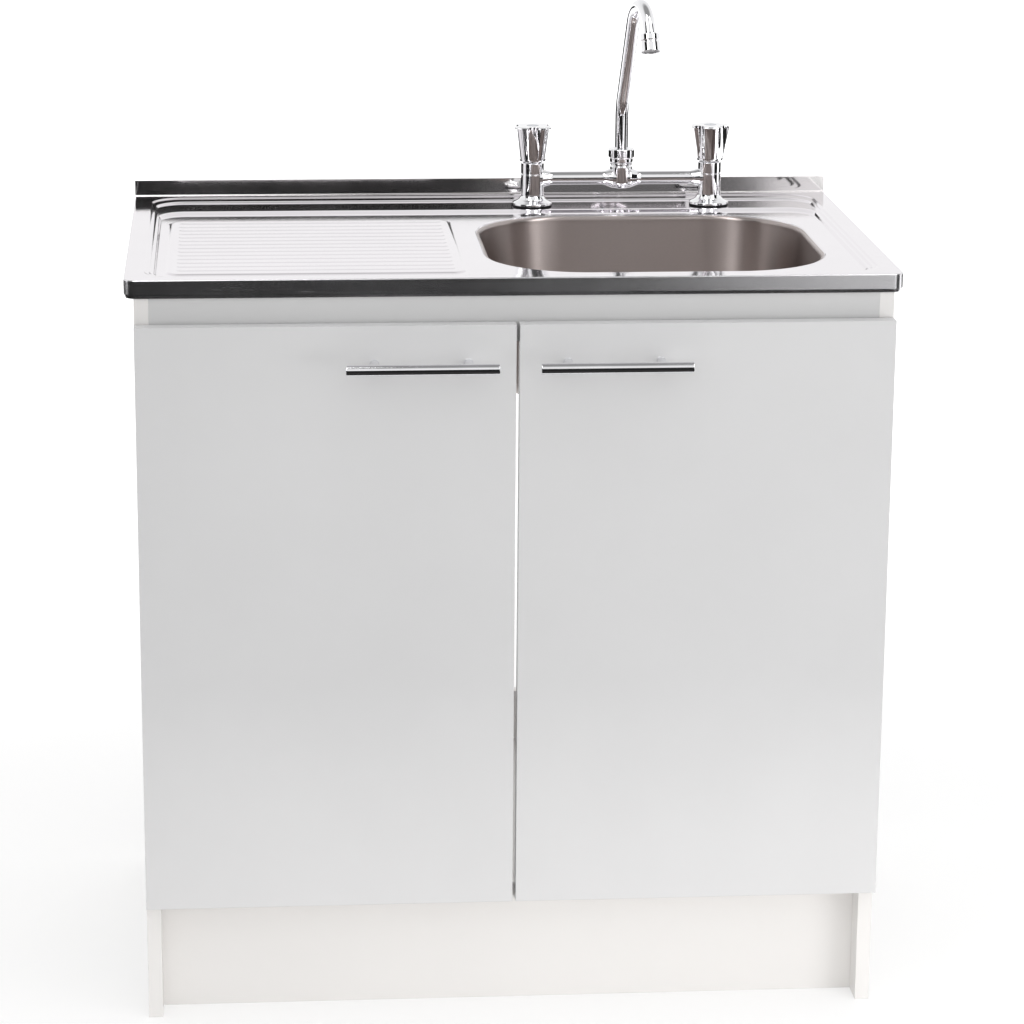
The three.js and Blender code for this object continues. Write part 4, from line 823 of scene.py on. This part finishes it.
def knob_shell(turn):
    """A flared knob with four scallops that run out towards its foot."""
    count = 144
    angle = 2 * np.pi * np.arange(count) / count
    local = (angle + np.pi / 4) % (np.pi / 2) - np.pi / 4
    away = np.pi / 4 - np.abs(local)
    levels = fillet(
        [(KNOB_LOW, 14.4), (KNOB_LOW, 15.2), (KNOB_LOW + 2, 15.2), (KNOB_TOP, 22.3), (KNOB_TOP, 14)],
        [0, 0.6, 6, 2.2, 0], 6,
    )
    rings = []
    for z, lobe in [(KNOB_LOW, 12.6), *levels.tolist(), (KNOB_TOP, 6.6), (KNOB_CAP_SEAT, 6.5)]:
        share = min(max((z - FLUTE_LOW) / (KNOB_TOP - FLUTE_LOW), 0), 1)
        centre = FLUTE_FOOT + FLUTE_FLARE * share + FLUTE_R
        aside = centre * np.sin(away)
        depth = np.sqrt(np.maximum(FLUTE_R**2 - aside**2, 0))
        scallop = np.where(aside < FLUTE_R, centre * np.cos(away) - depth, 99.0)
        # the smaller of the two radii, eased where they cross
        eased = -FLUTE_BLEND * np.logaddexp(-scallop / FLUTE_BLEND, -lobe / FLUTE_BLEND)
        r = np.where(lobe > 14, eased, lobe)
        rings.append(np.c_[r * np.cos(angle + turn), r * np.sin(angle + turn), np.full(count, z)])
    return loft(rings, caps=False)


def build_tap(side, sign, turn):
    """The knob with its inner sleeve, and the index cap in its top."""
    dx = sign * TAP_SPACING / 2
    body = f"tap_handle_{side}"
    sleeve = revolve([(12.6, KNOB_LOW), (12.6, 62), (4.3, 62), (4.3, 76)], 48)
    add_piece("knob_" + side, [at_mixer(knob_shell(turn), dx), at_mixer(sleeve, dx)], body, "tap_chrome",
              [f"tap_knob_{side}"], sharp=40)
    cap = fillet([(0, 89.8), (6.2, 89.8), (6.2, 92.2), (5.2, 92.4), (0, 92.4)], [0, 0.2, 0.5, 0.4, 0], 4)
    add_piece("index_" + side, [at_mixer(revolve(cap, 48), dx)], body, "index_plastic", [f"tap_index_{side}"])


def spout_stations():
    """(reach, height, direction) along the spout: upright, a bend, a leaning run, the crook, the nozzle."""
    upright_way = math.pi / 2
    stations = [(0.0, z, upright_way) for z in np.linspace(SPOUT_FOOT, SPOUT_BEND_Z, 6)[:-1]]
    for turn in np.linspace(0, SPOUT_LEAN, 12):
        reach = SPOUT_BEND_R - SPOUT_BEND_R * math.cos(turn)
        stations.append((reach, SPOUT_BEND_Z + SPOUT_BEND_R * math.sin(turn), upright_way - turn))
    way = upright_way - SPOUT_LEAN
    low_x, low_z, _ = stations[-1]
    high_z = CROOK_TOP - CROOK_R * (1 - math.cos(way))
    high_x = low_x + (high_z - low_z) / math.tan(way)
    for t in np.linspace(0, 1, 10)[1:-1]:
        stations.append((low_x + (high_x - low_x) * t, low_z + (high_z - low_z) * t, way))
    cx, cz = high_x + CROOK_R * math.sin(way), CROOK_TOP - CROOK_R
    end = NOZZLE_LEAN - math.pi / 2
    for angle in np.linspace(way, end, 40):
        stations.append((cx - CROOK_R * math.sin(angle), cz + CROOK_R * math.cos(angle), angle))
    x, z, _ = stations[-1]
    stations.append((x + NOZZLE_RUN * math.cos(end), z + NOZZLE_RUN * math.sin(end), end))
    return stations


def station_ring(station, radius, sides=48):
    """A circle round the spout's centre line at a station."""
    x, z, angle = station
    a = 2 * np.pi * np.arange(sides) / sides
    across = radius * np.cos(a)
    return np.c_[radius * np.sin(a), -(x - across * math.sin(angle)), z + across * math.cos(angle)]


SWING = Matrix.Rotation(SPOUT_SWING, 4, "Z")


def build_spout():
    stations = spout_stations()
    rings = [station_ring(s, SPOUT_R) for s in stations]
    rings += [station_ring(s, SPOUT_BORE) for s in stations[::-1]]
    tube = loft(rings, looped=True)
    collar = revolve([(7.2, 58.3), (10.5, 58.3), (10.5, 62.9), (7.2, 62.9), (7.2, 58.3)], 48)
    add_piece("spout", [at_mixer(tube, turn=SWING), at_mixer(collar, turn=SWING)], "spout", "tap_chrome",
              ["spout_tube"], sharp=40)
    nut = fillet(
        [(11.1, 49.3), (12.6, 49.3), (13.4, 50.4), (13.4, 54.6), (15, 55.6), (15, 65.6), (7.8, 65.6),
         (7.8, 63.2), (11.1, 63.2), (11.1, 49.3)],
        [0, 0.4, 0.8, 0.4, 1.2, 1.6, 0.6, 0, 0, 0],
    )
    add_piece("nut", [at_mixer(revolve(nut, 96))], "cabinet", "tap_chrome", ["spout_nut"])
    build_aerator(stations[-1])


def build_aerator(station):
    """The aerator's shell and its drilled screen, with heights measured along the nozzle."""
    x, z, angle = station
    to_nozzle = place(0, -x, z, Matrix.Rotation(math.pi / 2 - angle, 4, "X"))
    shell = fillet(
        [(7.8, -7), (10.8, -7), (11.5, -6), (11.5, 0), (10.6, 0.9), (10.6, 2.2), (11.5, 3), (11.5, 13),
         (9.9, 13), (9.9, 1), (7.8, 1), (7.8, -7)],
        [0, 1, 1.2, 0.4, 0.3, 0.3, 0.4, 0.9, 0.5, 0, 0, 0], 4,
    )
    add_piece("aerator", [at_mixer(moved(revolve(shell, 80), to_nozzle), turn=SWING)], "spout",
              "tap_chrome", ["aerator_shell"])
    disc = fillet([(0, 8), (9.6, 8), (9.6, 11), (0, 11)], [0, 0.3, 0.6, 0], 4)
    hole = revolve([(0, 7), (1.3, 7), (1.3, 12), (0, 12)], 24)
    holes = [hole] + [turned(moved(hole, place(5.4, 0, 0)), 60 * i) for i in range(6)]
    screen = moved(drilled(revolve(disc, 64), holes), to_nozzle)
    add_piece("screen", [at_mixer(screen, turn=SWING)], "spout", "grey_plastic", ["aerator_screen"])


# ------------------------------------------------------------------ camera, stage and light


# the camera that was fitted to the photograph: radians, metres and pixels
YAW, PITCH, ROLL = 0.0833, 0.2651, 0.0076
CAMERA_AT = (-0.2871, -3.6146, 1.4799)
FOCAL_PX, PHOTO_PX, SENSOR_MM = 3397.0, 1024, 36


def build_camera():
    forward = Vector((math.sin(YAW) * math.cos(PITCH), math.cos(YAW) * math.cos(PITCH), -math.sin(PITCH)))
    level = Vector((math.cos(YAW), -math.sin(YAW), 0))
    over = level.cross(forward)
    right = level * math.cos(ROLL) + over * math.sin(ROLL)
    up = -level * math.sin(ROLL) + over * math.cos(ROLL)
    turn = Matrix((right, up, -forward)).transposed().to_4x4()
    data = bpy.data.cameras.new("camera")
    data.sensor_width = SENSOR_MM
    data.lens = FOCAL_PX / PHOTO_PX * SENSOR_MM
    data.clip_end = 100
    camera = bpy.data.objects.new("camera", data)
    camera.matrix_world = Matrix.Translation(CAMERA_AT) @ turn
    bpy.context.scene.collection.objects.link(camera)
    bpy.context.scene.camera = camera


def sheet_object(name, corners, material):
    """A four-cornered stage sheet; its corners are in metres."""
    mesh = bpy.data.meshes.new(name)
    mesh.from_pydata(corners, [], [(0, 1, 2, 3)])
    mesh.materials.append(material)
    obj = bpy.data.objects.new(name, mesh)
    bpy.context.scene.collection.objects.link(obj)
    return obj


def seen_white(tree):
    """1 where the camera, a mirror or glass looks, and 0 for soft light."""
    path = tree.nodes.new("ShaderNodeLightPath")
    total = path.outputs["Is Camera Ray"]
    for name in ("Is Glossy Ray", "Is Transmission Ray"):
        add = tree.nodes.new("ShaderNodeMath")
        add.operation = "MAXIMUM"
        tree.links.new(total, add.inputs[0])
        tree.links.new(path.outputs[name], add.inputs[1])
        total = add.outputs[0]
    return total


def lying(corners, z):
    return [(x, y, z) for x, y in corners]


def box_corners(x0, x1, y0, y1):
    return [(x0, y0), (x1, y0), (x1, y1), (x0, y1)]


# where the floor starts and ends to fade to white, and how much it glows of itself near the object
SHADOW_NEAR, SHADOW_FAR, GLOW_NEAR = 0.8, 3.0, 0.42


def build_floor():
    """A pale floor: it takes the shadow near the object and runs out to plain white."""
    material = bpy.data.materials.new("pale_floor")
    material.use_nodes = True
    tree = material.node_tree
    tree.nodes.clear()
    new, link = tree.nodes.new, tree.links.new
    out = new("ShaderNodeOutputMaterial")
    diffuse = new("ShaderNodeBsdfDiffuse")
    glow = new("ShaderNodeEmission")
    coords = new("ShaderNodeTexCoord")
    length = new("ShaderNodeVectorMath")
    length.operation = "LENGTH"
    link(coords.outputs["Object"], length.inputs[0])
    far = new("ShaderNodeMapRange")
    far.interpolation_type = "SMOOTHSTEP"
    far.inputs["From Min"].default_value = SHADOW_NEAR
    far.inputs["From Max"].default_value = SHADOW_FAR
    link(length.outputs["Value"], far.inputs["Value"])
    share = new("ShaderNodeMapRange")
    share.inputs["To Min"].default_value = GLOW_NEAR
    share.inputs["To Max"].default_value = 1.0
    link(far.outputs["Result"], share.inputs["Value"])
    strength = new("ShaderNodeMath")
    strength.operation = "MULTIPLY"
    link(seen_white(tree), strength.inputs[0])
    link(share.outputs["Result"], strength.inputs[1])
    link(strength.outputs[0], glow.inputs["Strength"])
    diffuse.inputs["Color"].default_value = gray(0.6)
    add = new("ShaderNodeAddShader")
    link(diffuse.outputs[0], add.inputs[0])
    link(glow.outputs[0], add.inputs[1])
    link(add.outputs[0], out.inputs["Surface"])
    sheet_object("floor", lying(box_corners(-40, 40, -40, 40), 0), material)


def card_material(name, value):
    """A dull card. With no specular part it stays dark at grazing angles too."""
    material = bpy.data.materials.new(name)
    material.use_nodes = True
    shader = material.node_tree.nodes["Principled BSDF"]
    shader.inputs["Base Color"].default_value = gray(value)
    shader.inputs["Roughness"].default_value = 0.9
    shader.inputs["Specular IOR Level"].default_value = 0.0
    return material


def upright(x0, y0, x1, y1, z0, z1):
    """The corners of an upright sheet over a line in plan."""
    return [(x0, y0, z0), (x1, y1, z0), (x1, y1, z1), (x0, y0, z1)]


# heights at which cards lie over the floor and over each other, and of the walls of cards, m
LOW_LIFT, HIGH_LIFT = 0.004, 0.005
FRONT_Y, FRONT_SPLIT, FRONT_LOW, FRONT_TOP, SIDE_TOP = -5.2, 0.42, 1.3, 2.2, 4.0
FRONT_LEFT, FRONT_RIGHT = -2.4, 1.2


def build_cards():
    """Studio cards that only the shine on metal shows: before the object, and behind it to its sides."""
    dark, grey = card_material("dark_card", 0.02), card_material("grey_card", 0.2)
    floor_left = [(-1.75, -3.9), (-0.4, -1.0), (-1.1, -0.2), (-4.2, -0.99)]
    floor_right = [(3.33, -3.0), (4.58, -0.6), (1.4, -0.1), (1.0, -0.75)]
    back_left = [(-1.3, 3.5), (-3.2, 8.5), (-9.0, 2.6), (-4.0, 0.9)]
    back_right = [(1.5, 3.5), (4.0, 0.9), (9.0, 2.6), (3.4, 8.5)]
    cards = {
        "card_low": lying(box_corners(-2.2, 1.2, -6.5, -0.42), LOW_LIFT),
        "card_low_right": lying(box_corners(1.5, 2.6, -6.5, -0.9), LOW_LIFT),
        "card_left": upright(-0.75, -1.3, -0.75, 0.1, 0.0, 0.74),
        "card_front": upright(FRONT_LEFT, FRONT_Y, FRONT_SPLIT, FRONT_Y, 0.0, FRONT_TOP),
        "card_front_low": upright(FRONT_SPLIT, FRONT_Y, FRONT_RIGHT, FRONT_Y, 0.0, FRONT_LOW),
        "card_front_right": upright(FRONT_SPLIT, FRONT_Y, FRONT_RIGHT, FRONT_Y, FRONT_LOW, FRONT_TOP),
        "card_side_left": upright(-1.75, -3.9, -4.2, -0.99, 0.0, SIDE_TOP),
        "card_side_right": upright(3.33, -3.0, 4.58, -0.6, 0.0, SIDE_TOP),
        "card_floor_left": lying(floor_left, HIGH_LIFT),
        "card_floor_right": lying(floor_right, HIGH_LIFT),
        "card_back_left": lying(back_left, LOW_LIFT),
        "card_back_right": lying(back_right, LOW_LIFT),
    }
    for name, corners in cards.items():
        card = sheet_object(name, corners, grey if name == "card_front_right" else dark)
        card.visible_camera = False
        card.visible_diffuse = False
        card.visible_shadow = False
        card.visible_transmission = False


def area_light(name, where, target, size, power, color=(1, 1, 1)):
    """A lamp that only lights: neither the camera nor a mirror sees it."""
    data = bpy.data.lights.new(name, "AREA")
    data.shape = "RECTANGLE"
    data.size, data.size_y = size
    data.energy = power
    data.color = color
    light = bpy.data.objects.new(name, data)
    way = Vector(target) - Vector(where)
    light.matrix_world = Matrix.Translation(where) @ way.to_track_quat("-Z", "Y").to_matrix().to_4x4()
    bpy.context.scene.collection.objects.link(light)
    light.visible_camera = False
    light.visible_glossy = False
    return light


# the world's brightness: for soft light, and as metal sees it at each height of the sky
SKY_SOFT = 0.9
SKY_SHINE = ((0.3, 1.0), (0.76, 0.86), (0.92, 0.3))
WARM = (1, 0.975, 0.95)


def build_world():
    """An even world. The camera sees it white, and metal sees it white below and darker overhead."""
    world = bpy.data.worlds.new("world")
    bpy.context.scene.world = world
    world.use_nodes = True
    tree = world.node_tree
    new, link = tree.nodes.new, tree.links.new
    background = tree.nodes["Background"]
    coords = new("ShaderNodeTexCoord")
    split = new("ShaderNodeSeparateXYZ")
    link(coords.outputs["Generated"], split.inputs[0])
    shine = new("ShaderNodeValToRGB")
    stops = shine.color_ramp.elements
    (low, low_value), (middle, middle_value), (high, high_value) = SKY_SHINE
    stops[0].position, stops[0].color = low, gray(low_value)
    stops[1].position, stops[1].color = high, gray(high_value)
    stops.new(middle).color = gray(middle_value)
    link(split.outputs["Z"], shine.inputs["Fac"])
    path = new("ShaderNodeLightPath")
    either = new("ShaderNodeMath")
    either.operation = "MAXIMUM"
    link(shine.outputs["Color"], either.inputs[0])
    link(path.outputs["Is Camera Ray"], either.inputs[1])
    strength = new("ShaderNodeMix")
    strength.inputs["A"].default_value = SKY_SOFT
    link(seen_white(tree), strength.inputs["Factor"])
    link(either.outputs[0], strength.inputs["B"])
    link(strength.outputs["Result"], background.inputs["Strength"])
    background.inputs["Color"].default_value = gray(1)


def build_light():
    """A lamp on the floor before the doors, a key from the right, one from behind, and the softboxes."""
    area_light("low", (0.4, -1.0, 0.3), (0.4, -0.9, -0.7), (2.2, 0.5), 6.5, WARM)
    area_light("key", (1.7, -1.6, 0.36), (0.1, -0.25, 0.3), (1.0, 0.7), 8)
    area_light("back", (0.0, 1.7, 0.9), (0, 0.1, 0.35), (1.6, 1.0), 5)
    # two tall softboxes over the front that only metal sees: they draw the streaks in the bowl
    for name, x in (("softbox_left", -0.8), ("softbox_right", 1.36)):
        softbox = area_light(name, (x, -1.2, 2.4), (0.16, 0, 0.72), (0.6, 2.4), 20)
        softbox.visible_glossy = True
        softbox.visible_diffuse = False


bpy.context.scene.view_settings.view_transform = "Standard"
build_camera()
build_deck()
build_apron()
build_upstand()
build_bowl()
build_waste()
build_basket()
build_drain()
for side_name, side_sign, knob_turn in (("left", -1, 45), ("right", 1, 0)):
    build_handle(side_name, side_sign)
    build_gasket(side_name, side_sign)
    build_tap(side_name, side_sign, math.radians(knob_turn))
build_mixer_body()
build_spout()
build_floor()
build_cards()
build_world()
build_light()
